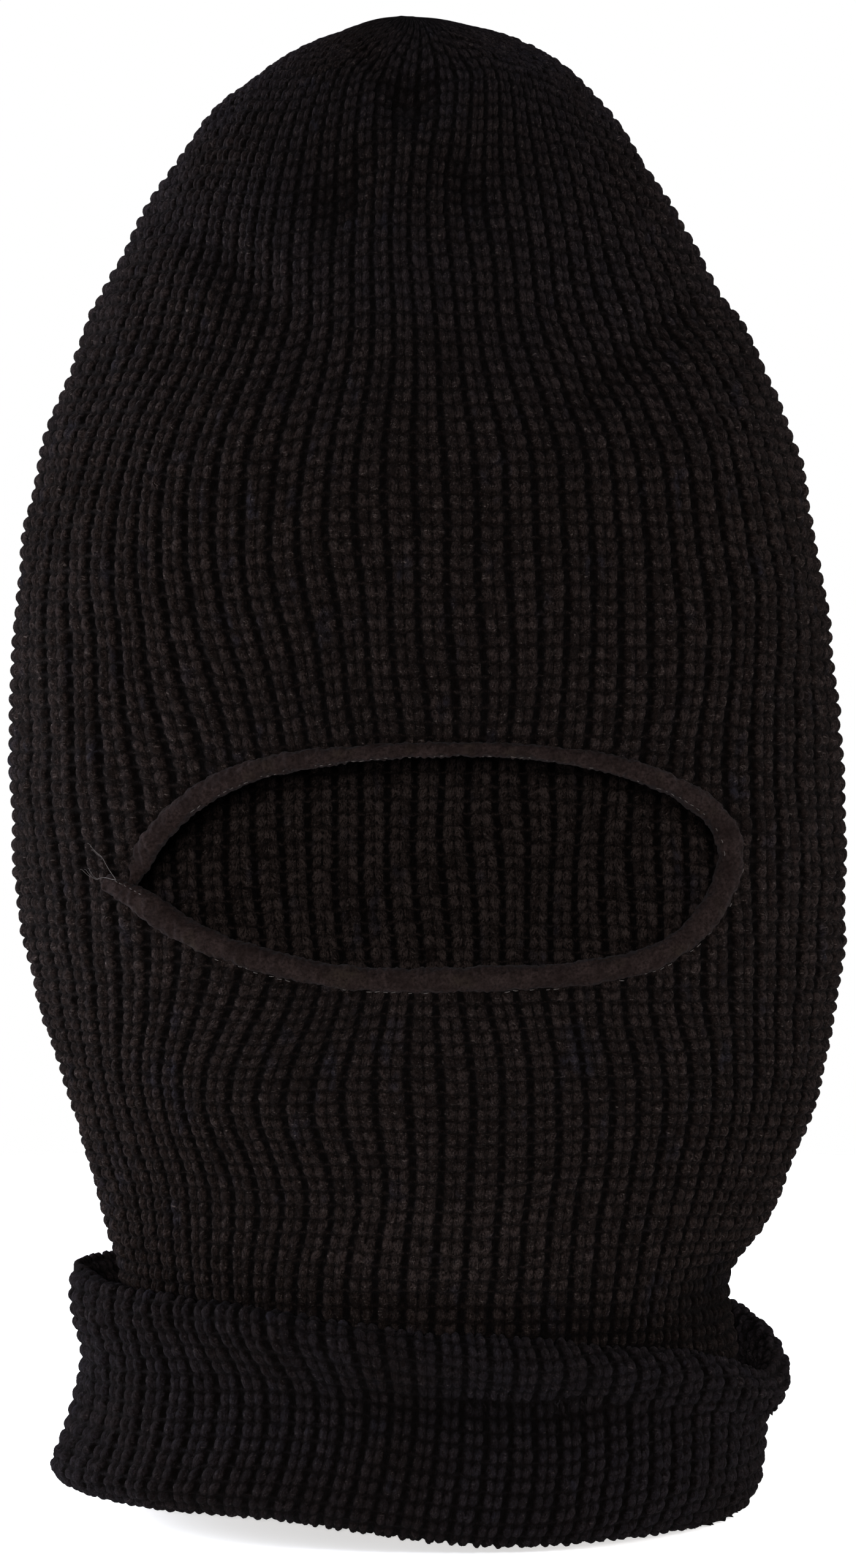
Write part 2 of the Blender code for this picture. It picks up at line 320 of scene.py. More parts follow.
def measure_profile():
    """Half width, half depth and sideways shift of the CAD hood against the root of the drop."""
    roots = np.linspace(PROFILE_FIRST, BOTTOM_ROOT - 0.001, PROFILE_SAMPLES)
    rows = []
    for root in roots:
        z = TOP - root * root
        right = cast(HOOD_TREE, (FAR, 0, z), (-1, 0, 0)).x
        left = cast(HOOD_TREE, (-FAR, 0, z), (1, 0, 0)).x
        middle = (left + right) / 2
        back = cast(HOOD_TREE, (middle, FAR, z), (0, -1, 0)).y
        rows.append(((right - left) / 2 / root, back / root, middle))
    step = roots[1] - roots[0]
    smoothed = [gaussian_smooth(np.array(column), step, PROFILE_SMOOTHING) for column in zip(*rows)]
    return roots, smoothed


PROFILE_ROOTS, (WIDTH_PER_ROOT, DEPTH_PER_ROOT, SHIFTS) = measure_profile()


def profile(root):
    """Half width, half depth and shift of the hood at a root of the drop."""
    half_width = np.interp(root, PROFILE_ROOTS, WIDTH_PER_ROOT) * root
    half_depth = np.interp(root, PROFILE_ROOTS, DEPTH_PER_ROOT) * root
    return half_width, half_depth, np.interp(root, PROFILE_ROOTS, SHIFTS)


def girth_table():
    """Angles of the superellipse against the share of its girth, from +X towards +Y."""
    angles = np.linspace(0.0, 2 * math.pi, 4001)
    x = signed_power(np.cos(angles), 2 / SECTION_POWER)
    y = GIRTH_DEPTH * signed_power(np.sin(angles), 2 / SECTION_POWER)
    length = running_total(np.hypot(np.diff(x), np.diff(y)))
    return length / length[-1], angles


GIRTH_SHARES, GIRTH_ANGLES = girth_table()


def section(share):
    """The unit superellipse at a share of the girth."""
    angle = np.interp(share % 1.0, GIRTH_SHARES, GIRTH_ANGLES)
    return tuple(signed_power(f(angle), 2 / SECTION_POWER) for f in (np.cos, np.sin))


def front_depth(unit_x):
    """How far the unit superellipse reaches to the front at a place across it."""
    return (1.0 - np.abs(unit_x) ** SECTION_POWER) ** (1 / SECTION_POWER)


# The crown's wales run straight down, then fan out, and the binding draws them together.
# Height, and how wide the wales of the front are there.
FRONT_PITCH = (
    (0.050, 0.0072), (0.080, 0.0070), (0.100, 0.0075), (0.115, 0.0072), (0.128, 0.0060),
    (0.150, 0.0058), (0.187, 0.0060), (0.204, 0.0065), (0.225, 0.0070), (0.240, 0.0072),
    (0.261, 0.0070), (0.279, 0.0056), (0.291, 0.0047), (0.308, 0.0047), (0.340, 0.0048),
)
FAN_TOP = (0.350, 0.362)  # between these heights the wales turn in to the top
MOST_STRETCH = 2.6  # of the front's wales against even ones
# Height, and how far the wales beside the opening sway there.
CHEEK_SWAY = (
    (0.050, 0.0), (0.068, -0.0020), (0.080, 0.0015), (0.090, 0.0), (0.104, -0.0045),
    (0.122, 0.0010), (0.140, 0.0065), (0.165, 0.0080), (0.187, 0.0060), (0.205, 0.0030), (0.235, 0.0),
)
CHEEK_X, CHEEK_REACH = -0.046, 0.030  # where they sway most, and how far to both sides
KNOT_STEP = 0.0005
KNOT_RANGE = (-0.02, 0.40)
KNOT_WIDTH = 0.005  # over which the knots are smoothed
FRONT_SHARE = 0.75  # the middle of the front, as a share of the girth
EVEN_TOP_ROOT, EVEN_SAMPLES = 0.03, 400


def knotted(knots, heights):
    """A smooth curve through (height, value) knots, read at the given heights."""
    grid = np.arange(*KNOT_RANGE, KNOT_STEP)
    places, values = np.array(knots).T
    smoothed = gaussian_smooth(np.interp(grid, places, values), KNOT_STEP, KNOT_WIDTH)
    return np.interp(heights, grid, smoothed)


def measure_even_pitch():
    """Heights up the middle of the front, and the even wales' pitch there."""
    roots = np.linspace(BOTTOM_ROOT, EVEN_TOP_ROOT, EVEN_SAMPLES)
    share = FRONT_SHARE + np.array([-0.25, 0.25]) / WALES
    root, shares = np.meshgrid(roots, share, indexing="ij")
    half_width, _, shift = profile(root)
    x = shift + half_width * section(shares)[0]
    z = (TOP - root**2).mean(axis=1)
    return z, 2 * np.abs(x[:, 1] - x[:, 0])


EVEN_Z, EVEN_PITCH = measure_even_pitch()


def front_stretch(z):
    """How many times wider than even the front's wales are at a height."""
    stretch = knotted(FRONT_PITCH, z) / np.maximum(np.interp(z, EVEN_Z, EVEN_PITCH), 1e-4)
    stretch = np.minimum(stretch, MOST_STRETCH)
    return 1.0 + (stretch - 1.0) * smooth_step(z, FAN_TOP[1], FAN_TOP[0])


def front_sway(unit_x, half_width, z):
    """The front's places across (-1 to 1 of the half width), after the wales' stretch and sway."""
    stretch = front_stretch(z)
    stretched_x = stretch * unit_x / (1.0 + (stretch - 1.0) * np.abs(unit_x))
    cheek = knotted(CHEEK_SWAY, z) * bump(stretched_x * half_width, CHEEK_X, CHEEK_REACH)
    room = 1.0 - np.clip(np.abs(stretched_x), 0.0, 1.0) ** 4
    return np.clip(stretched_x + cheek * room / np.maximum(half_width, 1e-9), -1.0, 1.0)


# ---- the opening ----
OPENING_SAMPLES = 360


def measure_outline(node):
    """The middle line of a ring-shaped CAD node, seen from the front: its reach by direction."""
    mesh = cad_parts[node].data
    points = np.array([(v.co.x, v.co.z) for v in mesh.vertices])
    edges = np.array([tuple(e.vertices) for e in mesh.edges])
    low, high = points.min(0), points.max(0)
    centre = (low + high) / 2
    a, b = points[edges[:, 0]] - centre, points[edges[:, 1]] - centre
    angles = np.linspace(-math.pi, math.pi, OPENING_SAMPLES, endpoint=False)
    middle = []
    for angle in angles:
        c, s = math.cos(angle), math.sin(angle)
        side_a = a[:, 1] * c - a[:, 0] * s
        side_b = b[:, 1] * c - b[:, 0] * s
        crossing = side_a * side_b < 0
        share = side_a[crossing] / (side_a[crossing] - side_b[crossing])
        met = a[crossing] + (b[crossing] - a[crossing]) * share[:, None]
        reach = met[:, 0] * c + met[:, 1] * s
        reach = reach[reach > 0]
        middle.append((reach.min() + reach.max()) / 2)
    return centre, angles, np.array(middle)


OPENING_CENTRE, OUTLINE_ANGLES, OUTLINE_MIDDLE = measure_outline("face_binding")


def outline_reach(angle):
    """How far the binding's middle line is from the opening's centre in a direction."""
    return np.interp(angle, OUTLINE_ANGLES, OUTLINE_MIDDLE, period=2 * math.pi)


def inside_opening(x, z):
    """How far inside the binding's middle line a point of the front lies; negative is outside."""
    dx, dz = x - OPENING_CENTRE[0], z - OPENING_CENTRE[1]
    return outline_reach(np.arctan2(dz, dx)) - np.hypot(dx, dz)


# ---- folds and hollows of the hood ----
CLOSURE = (-0.0045, 0.3462)  # x and z of the crown's closure, on the front slope
CLOSURE_DEPTH = 0.0042
CLOSURE_WIDTH = 0.0068
FRONT_EDGE = (0.004, -0.006)  # y at which the front's hollows start and at which they are full
# x, z, width and depth of the two dimples below it
DIMPLES = ((-0.0230, 0.3220, 0.0105, 0.0036), (0.0104, 0.3220, 0.0095, 0.0034))
HOLLOW_SHADE = 0.66  # painted shade: how much darker the yarn is painted in the deepest folds
HOLLOW_DEEP = 0.0042  # how far those are pressed in
NECK_SHADE = 0.60  # painted shade: how much darker the yarn is painted just above the cuff's rim
NECK_SHADE_RISE = (0.064, 0.050)  # from no shade to full, by height
NECK_SHADE_SIDE = (-0.020, 0.030)  # and across
NECK_LIGHT = (0.008, 0.069, 0.026, 0.009, 0.85)  # x, z, half sizes and strength of painted light on a ridge of the neck
TOP_DIP = (0.0014, 0.0065)  # depth and width of the dimple where the wales meet at the top
TOP_DIP_RISE = (0.33, 0.35)  # heights between which it sets in
# side, height, reach, how far the side is drawn in there
SIDE_WAVES = (
    (1.0, 0.0570, 0.0110, 0.0055),
    (1.0, 0.2680, 0.0260, -0.0022),
    (1.0, 0.1920, 0.0200, 0.0012),
    (-1.0, 0.0600, 0.0080, 0.0010),
)
SIDE_WAVE_REACH = (0.050, 0.075)  # distance from the middle at which the waves set in
# start x z, end x z, half width, depth
FOLDS = (
    (-0.004, 0.343, -0.015, 0.355, 0.0034, 0.0022),
    (-0.006, 0.343, 0.009, 0.355, 0.0034, 0.0020),
    (-0.010, 0.338, -0.024, 0.316, 0.0042, 0.0022),
    (0.001, 0.338, 0.014, 0.318, 0.0042, 0.0020),
    (-0.062, 0.316, -0.028, 0.286, 0.0060, 0.0034),
    (0.068, 0.299, 0.029, 0.264, 0.0065, 0.0032),
    (-0.076, 0.284, 0.004, 0.277, 0.0080, 0.0022),
    (-0.018, 0.066, 0.034, 0.064, 0.0045, -0.0016),
    (-0.014, 0.073, 0.030, 0.072, 0.0030, 0.0014),
    (-0.016, 0.058, 0.030, 0.057, 0.0030, 0.0014),
)
FOLD_TAPER = (0.15, 0.70)  # where on a half wave a fold starts, and how much of it it spans
# height, wavelength and seed of the surface's own irregular waves, which fade in over HOOD_WAVES_RISE
HOOD_WAVES = ((0.0007, 0.060, 3), (0.0004, 0.024, 4))
HOOD_WAVES_RISE = (0.05, 0.09)


def line_distance(x, z, fold):
    """How far points are from a fold's line, and how far along it, from 0 to 1."""
    x0, z0, x1, z1 = fold[:4]
    along = ((x - x0) * (x1 - x0) + (z - z0) * (z1 - z0)) / ((x1 - x0) ** 2 + (z1 - z0) ** 2)
    along = np.clip(along, 0, 1)
    return np.hypot(x - x0 - along * (x1 - x0), z - z0 - along * (z1 - z0)), along


def irregular(points, waves):
    """The sum of several ripples: each row gives one's height, wavelength and seed."""
    return sum(height * ripple(points, length, seed) for height, length, seed in waves)


def hood_hollow(points):
    """How far the hood's surface is pressed in at each point, in metres."""
    x, y, z = points[..., 0], points[..., 1], points[..., 2]
    front = smooth_step(y, *FRONT_EDGE)
    closure = np.hypot(x - CLOSURE[0], z - CLOSURE[1])
    hollow = front * CLOSURE_DEPTH * bump(closure, 0, CLOSURE_WIDTH)
    for dimple_x, dimple_z, width, depth in DIMPLES:
        hollow = hollow + front * depth * bump(np.hypot(x - dimple_x, z - dimple_z), 0, width)
    for fold in FOLDS:
        distance, along = line_distance(x, z, fold)
        taper = np.sin(math.pi * (FOLD_TAPER[0] + FOLD_TAPER[1] * along))
        hollow = hollow + front * fold[5] * bump(distance, 0, fold[4]) * taper
    pole_x = float(profile(np.array([POLE_ROOT]))[2][0])
    dip = TOP_DIP[0] * bump(np.hypot(x - pole_x, y), 0, TOP_DIP[1])
    hollow = hollow + dip * smooth_step(z, *TOP_DIP_RISE)
    for side, height, reach, depth in SIDE_WAVES:
        hollow = hollow + depth * bump(z, height, reach) * smooth_step(side * x, *SIDE_WAVE_REACH)
    return hollow + irregular(points, HOOD_WAVES) * smooth_step(z, *HOOD_WAVES_RISE)


def hood_surface(share, root):
    """The hood's smooth outer face, without stitches, and how far each point is pressed in."""
    half_width, half_depth, shift = profile(root)
    unit_x, unit_y = section(share)
    x, y = shift + half_width * unit_x, half_depth * unit_y
    z = TOP - root * root
    moved = front_sway(np.clip(unit_x, -1.0, 1.0), half_width, z)
    front = unit_y < 0
    x = np.where(front, shift + moved * half_width, x)
    y = np.where(front, -half_depth * front_depth(moved), y)
    points = np.stack([x, y, z], axis=-1)
    hollow = hood_hollow(points)
    return points - grid_normals(points) * hollow[..., None], hollow


# height, course pitch there
COURSE_PITCH = (
    (0.050, 0.0036), (0.078, 0.0035), (0.095, 0.0031), (0.125, 0.0031), (0.145, 0.0035), (0.200, 0.0036),
)
GIRTH = 0.50  # of the hood at its widest
WOBBLE = 0.0007  # how far the wales stray sideways
WOBBLE_LENGTH, WOBBLE_SEED = 0.034, 41
BODY_COURSES = 62  # courses below the crown, which lie level all round
TABLE_ROWS = 420
EDGE_PINCH = 0.62  # how far the knit is pressed flat under the binding
EDGE_PINCH_REACH = (-0.0062, -0.0022)  # from no pinch to full, inside the binding's middle line
RELIEF_FADE = (0.0005, 0.0024)  # wale widths at which the relief sets in and is full, near the top
LEAN_FADE = (0.0006, 0.0030)  # and the same for the stitches' lean
EDGE_TRIM = -0.0008  # where the knit ends, inside the binding's middle line
CAP_SINK = 0.0008  # how far the tops' middle points lie below their rings
FACE_STEP = 4  # every which row and column of the smooth face other pieces are laid on


def course_table(share):
    """Roots of the drop from the neck to the closure, and the course that each column has there."""
    roots = np.linspace(BOTTOM_ROOT, POLE_ROOT, TABLE_ROWS)
    root, shares = np.meshgrid(roots, share, indexing="ij")
    points, _ = hood_surface(shares, root)
    step = np.linalg.norm(np.diff(points, axis=0), axis=2)
    pitch = knotted(COURSE_PITCH, (points[1:, :, 2] + points[:-1, :, 2]) / 2)
    return roots, running_total(step / pitch)


def row_courses(table):
    """The course at each mesh row of each column: aligned with the stitches below the crown."""
    totals = table[-1] - V_SLOPE / 2
    rows = int(round(totals.mean() * ROWS))
    even = np.arange(rows) / ROWS
    share = np.clip((even - BODY_COURSES) / (even[-1] - BODY_COURSES), 0.0, 1.0)[:, None]
    crown = BODY_COURSES + share * (totals[None, :] - BODY_COURSES)
    return np.where(even[:, None] < BODY_COURSES, even[:, None], crown)


def row_lean(course, table, roots):
    """How far each mesh row follows the stitches' V: all the way, but not in the narrow top rings."""
    root = np.interp(course[:, 0], table[:, 0], roots)
    half_width, half_depth, _ = profile(root)
    pitch = 2 * math.pi * np.sqrt((half_width**2 + half_depth**2) / 2) / WALES
    return smooth_step(pitch, *LEAN_FADE)


def hood_layout():
    """Each mesh point's wale, course and root of the drop."""
    columns = WALES * COLUMNS
    wale = np.arange(columns) / COLUMNS
    roots, table = course_table(wale / WALES)
    course = row_courses(table)
    lean = row_lean(course, table, roots)[:, None]
    course = course + V_SLOPE * wale_offset(wale)[None, :] * lean
    root = np.stack([np.interp(course[:, k], table[:, k], roots) for k in range(columns)], axis=1)
    return np.broadcast_to(wale, course.shape), course, root


def knitted_faces(wales, course, smooth, edge):
    """The hood's outer and inner face with their stitches: points, heights and yarn of each."""
    normal = grid_normals(smooth)
    ring = np.linalg.norm(np.roll(smooth, -1, axis=1) - smooth, axis=2).sum(axis=1)
    fade = smooth_step(ring / WALES, *RELIEF_FADE)[:, None]
    pinch = EDGE_PINCH * smooth_step(edge, *EDGE_PINCH_REACH)
    middle = -WALL / 2
    inner_course = course + V_SLOPE * (wale_offset(wales + 0.5) - wale_offset(wales))
    faces = []
    for face_wales, face_course, top, sense in (
        (wales, course, PROUD, -1),
        (wales + 0.5, inner_course, -WALL - PROUD, 1),
    ):
        height, yarn = knit(face_wales, face_course)
        lift = top + sense * LEG_RISE * (1.0 - height) * fade
        lift = middle + (lift - middle) * (1 - pinch)
        faces.append((smooth + normal * lift[..., None], height, yarn))
    return faces


def hood_shade(smooth, hollow):
    """Painted shade on the outer face's yarn: darker in the hollows and just above the cuff."""
    front = smooth[..., 1] < 0
    shade = 1.0 - HOLLOW_SHADE * np.clip(hollow / HOLLOW_DEEP, 0.0, 1.0)
    # Painted shade just above the cuff's rim, on the front.
    behind_rim = smooth_step(smooth[..., 2], *NECK_SHADE_RISE)
    behind_rim = behind_rim * smooth_step(smooth[..., 0], *NECK_SHADE_SIDE)
    return shade * (1.0 - NECK_SHADE * behind_rim * front)


def painted_neck_light(smooth):
    """Painted light on the front of the neck, on a ridge between two folds."""
    x, z, half_x, half_z, strength = NECK_LIGHT
    patch = bump(smooth[..., 2], z, half_z) * bump(smooth[..., 0], x, half_x)
    return strength * patch * (smooth[..., 1] < 0)


def hood_caps(shells, rows, columns):
    """Triangles that close the top of each shell, their bake coordinates and their middle points."""
    size = rows * columns
    mouth = np.arange(columns)
    caps, bakes, points = [], [], []
    for k, shell in enumerate(shells):
        last = k * size + (rows - 1) * columns + mouth
        following = k * size + (rows - 1) * columns + (mouth + 1) % columns
        centre = np.full(columns, 2 * size + k)
        corners = [following, last, centre] if k else [last, following, centre]
        caps.append(np.stack(corners, axis=1))
        bakes.append(strip_bake(columns, *BAKE_HOOD_CAPS[k])[:, :3])
        points.append(shell[-1].mean(axis=0) - [0.0, 0.0, CAP_SINK])
    return caps, bakes, np.array(points)


def hood_faces(hole, shells):
    """All of the hood's faces with their bake coordinates, and the middle points of its tops."""
    rows, columns = hole.shape
    size = rows * columns
    gone = hole[:-1] & hole[1:]
    gone = gone & np.roll(gone, -1, axis=1)
    kept = ~gone.ravel()
    faces, bakes = [], []
    for k, band in enumerate(BAKE_HOOD):
        quads, j, i = grid_faces(rows, columns, k * size, flip=k == 1)
        faces.append(quads[kept])
        bakes.append(bake_square(j, i, rows, columns, *band)[kept])
    rims, rim_bakes = opening_rims(gone, rows, columns)
    mouth = np.arange(columns)
    after = (mouth + 1) % columns
    neck = np.stack([after, mouth, mouth + size, after + size], axis=1)
    caps, cap_bakes, cap_points = hood_caps(shells, rows, columns)
    faces += [rims, neck, *caps]
    bakes += [rim_bakes, strip_bake(len(neck), *BAKE_NECK), *cap_bakes]
    return faces, bakes, cap_points


def make_hood():
    """The knitted hood: an outer and an inner knitted face, joined round the opening and the neck."""
    wales, course, root = hood_layout()
    share = wales / WALES
    smooth, _ = hood_surface(share, root)
    share = share + WOBBLE / GIRTH * ripple(smooth, WOBBLE_LENGTH, WOBBLE_SEED)
    smooth, hollow = hood_surface(share, root)
    front = smooth[..., 1] < 0
    edge = np.where(front, inside_opening(smooth[..., 0], smooth[..., 2]), -1.0)
    (outer, height_outer, yarn_outer), (inner, height_inner, yarn_inner) = knitted_faces(
        wales, course, smooth, edge
    )

    faces, bakes, cap_points = hood_faces(edge > EDGE_TRIM, (outer, inner))
    points = np.concatenate([outer.reshape(-1, 3), inner.reshape(-1, 3), cap_points])
    # Painted shade: the stitch heights, darkened in the folds and just above the cuff, set how dark the
    # yarn is painted.
    shaded = height_outer * hood_shade(smooth, hollow)
    attributes = {
        "relief_shade": np.concatenate([shaded.ravel(), height_inner.ravel(), [0.0, 0.0]]),
        "yarn": np.concatenate([yarn_outer.reshape(-1, 3), yarn_inner.reshape(-1, 3), np.zeros((2, 3))]),
        # Painted light: all of the inner face, and a patch on a ridge of the neck.
        "painted_light": np.concatenate([painted_neck_light(smooth).ravel(), np.ones(course.size), [0.0, 1.0]]),
    }
    hood = make_mesh("hood_rib_knit", points, faces, bakes, attributes)
    return hood, smooth[::FACE_STEP, ::FACE_STEP]


def strip_bake(count, low, high):
    """Bake coordinates of a row of quads laid side by side."""
    k = np.arange(count)
    u = np.stack([k + 1, k, k, k + 1], axis=1) / count
    v = np.tile([low, low, high, high], (count, 1))
    return np.stack([u, v], axis=-1)


def opening_rims(gone, rows, columns):
    """Quads that join the two knitted faces along the edge of the opening."""
    size = rows * columns
    j, i = np.nonzero(gone)
    strips = []
    for dj, di, start, end in (
        (0, -1, (1, 0), (0, 0)),
        (0, 1, (0, 1), (1, 1)),
        (-1, 0, (0, 0), (0, 1)),
        (1, 0, (1, 1), (1, 0)),
    ):
        edge = ~gone[(j + dj), (i + di) % columns]
        a = (j[edge] + start[0]) * columns + (i[edge] + start[1]) % columns
        b = (j[edge] + end[0]) * columns + (i[edge] + end[1]) % columns
        strips.append(np.stack([a, b, b + size, a + size], axis=1))
    rims = np.concatenate(strips)
    return rims, strip_bake(len(rims), *BAKE_RIMS)


# ---- the cuff ----
CUFF_TREE = cad_tree("neck_cuff")
(CUFF_CENTRE_X, _, _), (CUFF_HALF_WIDTH, CUFF_HALF_DEPTH, _) = middle_and_half("neck_cuff")
CUFF_PLY = 0.0086  # the folded cuff's two layers together
CUFF_RIM_SAMPLES = 90
CUFF_FINE_STEPS = 600
CUFF_ROWS_PER_LOOP = 190
CUFF_OUTER = (0.0086, 0.0072)  # insets between which the section turns to its outer face
CUFF_FLOOR = 0.0002  # the lowest that the cuff may reach
# height, wavelength and seed of the cuff's own irregular waves, which fade in over CUFF_WAVES_RISE
CUFF_WAVES = ((0.0008, 0.045, 8), (0.0005, 0.020, 9))
CUFF_WAVES_RISE = (0.004, 0.014)
CUFF_SHADE = 0.72  # painted shade: how much darker the yarn is painted in the front's hollow under the rim
CUFF_SHADE_PLACE = (0.15, 0.62)  # the middle and half width of that shade, of the half width
CUFF_SHADE_FALL = (0.76, 0.62)  # heights, of the rim's, between which it sets in
CUFF_SHADE_BAND = (0.64, 0.10)  # the middle and half width of a darker band in it
CUFF_SHADE_FRONT = (0.2, 0.7)  # from the sides, without shade, to the front
HOLLOW_INSET = 0.0030  # how much deeper that hollow is
BACK_LIFT = 0.0078  # how far the rim stands above the CAD's at the back right
BACK_LIFT_PLACE = (0.93, 0.30)  # where that is and how far it reaches, of the half width
BACK_LIFT_SIDE = (-0.35, 0.28)  # and where it sets in, from front to back
EDGE_LIFT = 0.0074  # how far the fold's lower edge rises at the front left
EDGE_LIFT_BACK = 0.80  # the share of that lift that the back left keeps
# x, reach, height, rate, start and lean of the bows in which the cuff's wales run up its front
CUFF_BOWS = ((-0.045, 0.035, 0.0085, 1.0, 0.02, 0.004), (0.045, 0.030, 0.0070, 0.9, 0.0, 0.003))
CUFF_LEAN = (0.030, 0.0040)  # reach and slope of their plain lean in the middle
CUFF_BOW_HEIGHT = 0.055


def measure_rim():
    """Height of the CAD cuff's rim against the share of its girth."""
    shares = np.arange(CUFF_RIM_SAMPLES) / CUFF_RIM_SAMPLES
    unit_x, unit_y = section(shares)
    heights = []
    for ux, uy in zip(unit_x, unit_y):
        x = CUFF_CENTRE_X + (CUFF_HALF_WIDTH - CUFF_PLY / 2) * ux
        y = (CUFF_HALF_DEPTH - CUFF_PLY / 2) * uy
        heights.append(cast(CUFF_TREE, (x, y, FAR), (0, 0, -1)).z)
    return shares, np.array(heights)


RIM_SHARES, RIM_HEIGHTS = measure_rim()


def rim_height(share):
    """Height of the rim: the CAD cuff's, standing a little higher at the back right."""
    unit_x, unit_y = section(share)
    lift = BACK_LIFT * bump(unit_x, *BACK_LIFT_PLACE) * smooth_step(unit_y, *BACK_LIFT_SIDE)
    return np.interp(share, RIM_SHARES, RIM_HEIGHTS, period=1.0) + lift


def catmull_rom(controls, places):
    """A smooth curve through control arrays (first axis) at places from 0 to len(controls) - 1."""
    count = len(controls)
    before = np.clip(np.floor(places).astype(int), 0, count - 2)
    t = (places - before)[:, None, None]
    p0 = controls[np.maximum(before - 1, 0)]
    p1, p2 = controls[before], controls[before + 1]
    p3 = controls[np.minimum(before + 2, count - 1)]
    return 0.5 * (
        2 * p1 + (p2 - p0) * t + (2 * p0 - 5 * p1 + 4 * p2 - p3) * t**2
        + (3 * p1 - p0 - 3 * p2 + p3) * t**3
    )


def cuff_profile(share):
    """Control points (inset from the CAD wall, height) of the cuff's section, per direction."""
    unit_x, unit_y = section(share)
    rim = rim_height(share)
    left = smooth_step(-unit_x, 0.2, 0.95)
    right = smooth_step(unit_x, 0.3, 1.0)
    front = smooth_step(-unit_y, -0.1, 0.3)
    middle = front * bump(unit_x, 0.12, 0.50)
    lift = EDGE_LIFT * smooth_step(unit_x, 0.28, -0.55)
    lift = lift * (EDGE_LIFT_BACK + (1 - EDGE_LIFT_BACK) * front)
    rows = [
        (0.0175, 0.0030 + 0.80 * lift),
        (0.0130, 0.0002 + 0.85 * lift),
        (0.0062 + 0.008 * right, 0.0002 + 0.88 * lift),
        (0.0016 + 0.008 * right - 0.0010 * left, 0.0022 + 0.92 * lift),
        (0.0002 + 0.0062 * right - 0.0030 * left, 0.0078 + 0.80 * lift),
        (0.0020 + 0.0022 * right - 0.0008 * left, 0.40 * rim + 0.2 * lift),
        (0.0040 - 0.0014 * right + HOLLOW_INSET * middle, 0.66 * rim),
        (0.0022 - 0.0012 * right + 0.0008 * left, rim - 0.0120),
        (-0.0006 - 0.0008 * right + 0.0028 * left, rim - 0.0052),
        (CUFF_PLY / 2 - 0.0004, rim + 0.0002),
        (CUFF_PLY - 0.0002, rim - 0.0046),
        (CUFF_PLY + 0.0008 * left, rim - 0.0125),
        (CUFF_PLY + 0.0018 * left, 0.60 * rim),
        (CUFF_PLY, 0.30 * rim),
        (CUFF_PLY + 0.0004, 0.0092 + 0.60 * lift),
        (0.0125, 0.0056 + 0.80 * lift),
        (0.0178, 0.0050 + 0.80 * lift),
        (0.0175, 0.0030 + 0.80 * lift),
    ]
    return np.array([np.stack(np.broadcast_arrays(*row), axis=1) for row in rows])


def cuff_sway(x, z):
    """How far the cuff's wales lean along X on its front: they bow between rim and base."""
    share = np.clip(z / CUFF_BOW_HEIGHT, 0.0, 1.2)
    sway = CUFF_LEAN[1] * share * bump(x, 0.0, CUFF_LEAN[0])
    for middle, reach, height, rate, start, lean in CUFF_BOWS:
        bow = height * np.sin(math.pi * np.clip(share * rate - start, 0, 1)) - lean
        sway = sway + bow * bump(x, middle, reach)
    return sway


def cuff_grid(wale):
    """Inset from the CAD wall, height, and distance along the section, per row and column."""
    controls = cuff_profile(wale / WALES)
    fine = catmull_rom(controls, np.linspace(0, len(controls) - 1, CUFF_FINE_STEPS))
    length = running_total(np.linalg.norm(np.diff(fine, axis=0), axis=2))
    places = np.arange(CUFF_ROWS_PER_LOOP)[:, None] / CUFF_ROWS_PER_LOOP
    arc = places * length[-1] + V_SLOPE * COURSE * wale_offset(wale)
    inset, height = np.empty_like(arc), np.empty_like(arc)
    for k in range(len(wale)):
        inset[:, k] = np.interp(arc[:, k], length[:, k], fine[:, k, 0])
        height[:, k] = np.interp(arc[:, k], length[:, k], fine[:, k, 1])
    return inset, height, arc


def cuff_shade(share, height):
    """Painted shade of the cuff's yarn: darker on the front in the hollow under the rim."""
    unit_x, unit_y = section(share)
    level = height / rim_height(share)
    under_rim = 0.55 * smooth_step(level, *CUFF_SHADE_FALL) + 0.45 * bump(level, *CUFF_SHADE_BAND)
    under_rim = under_rim * smooth_step(-unit_y, *CUFF_SHADE_FRONT)
    return 1.0 - CUFF_SHADE * under_rim * bump(unit_x, *CUFF_SHADE_PLACE)


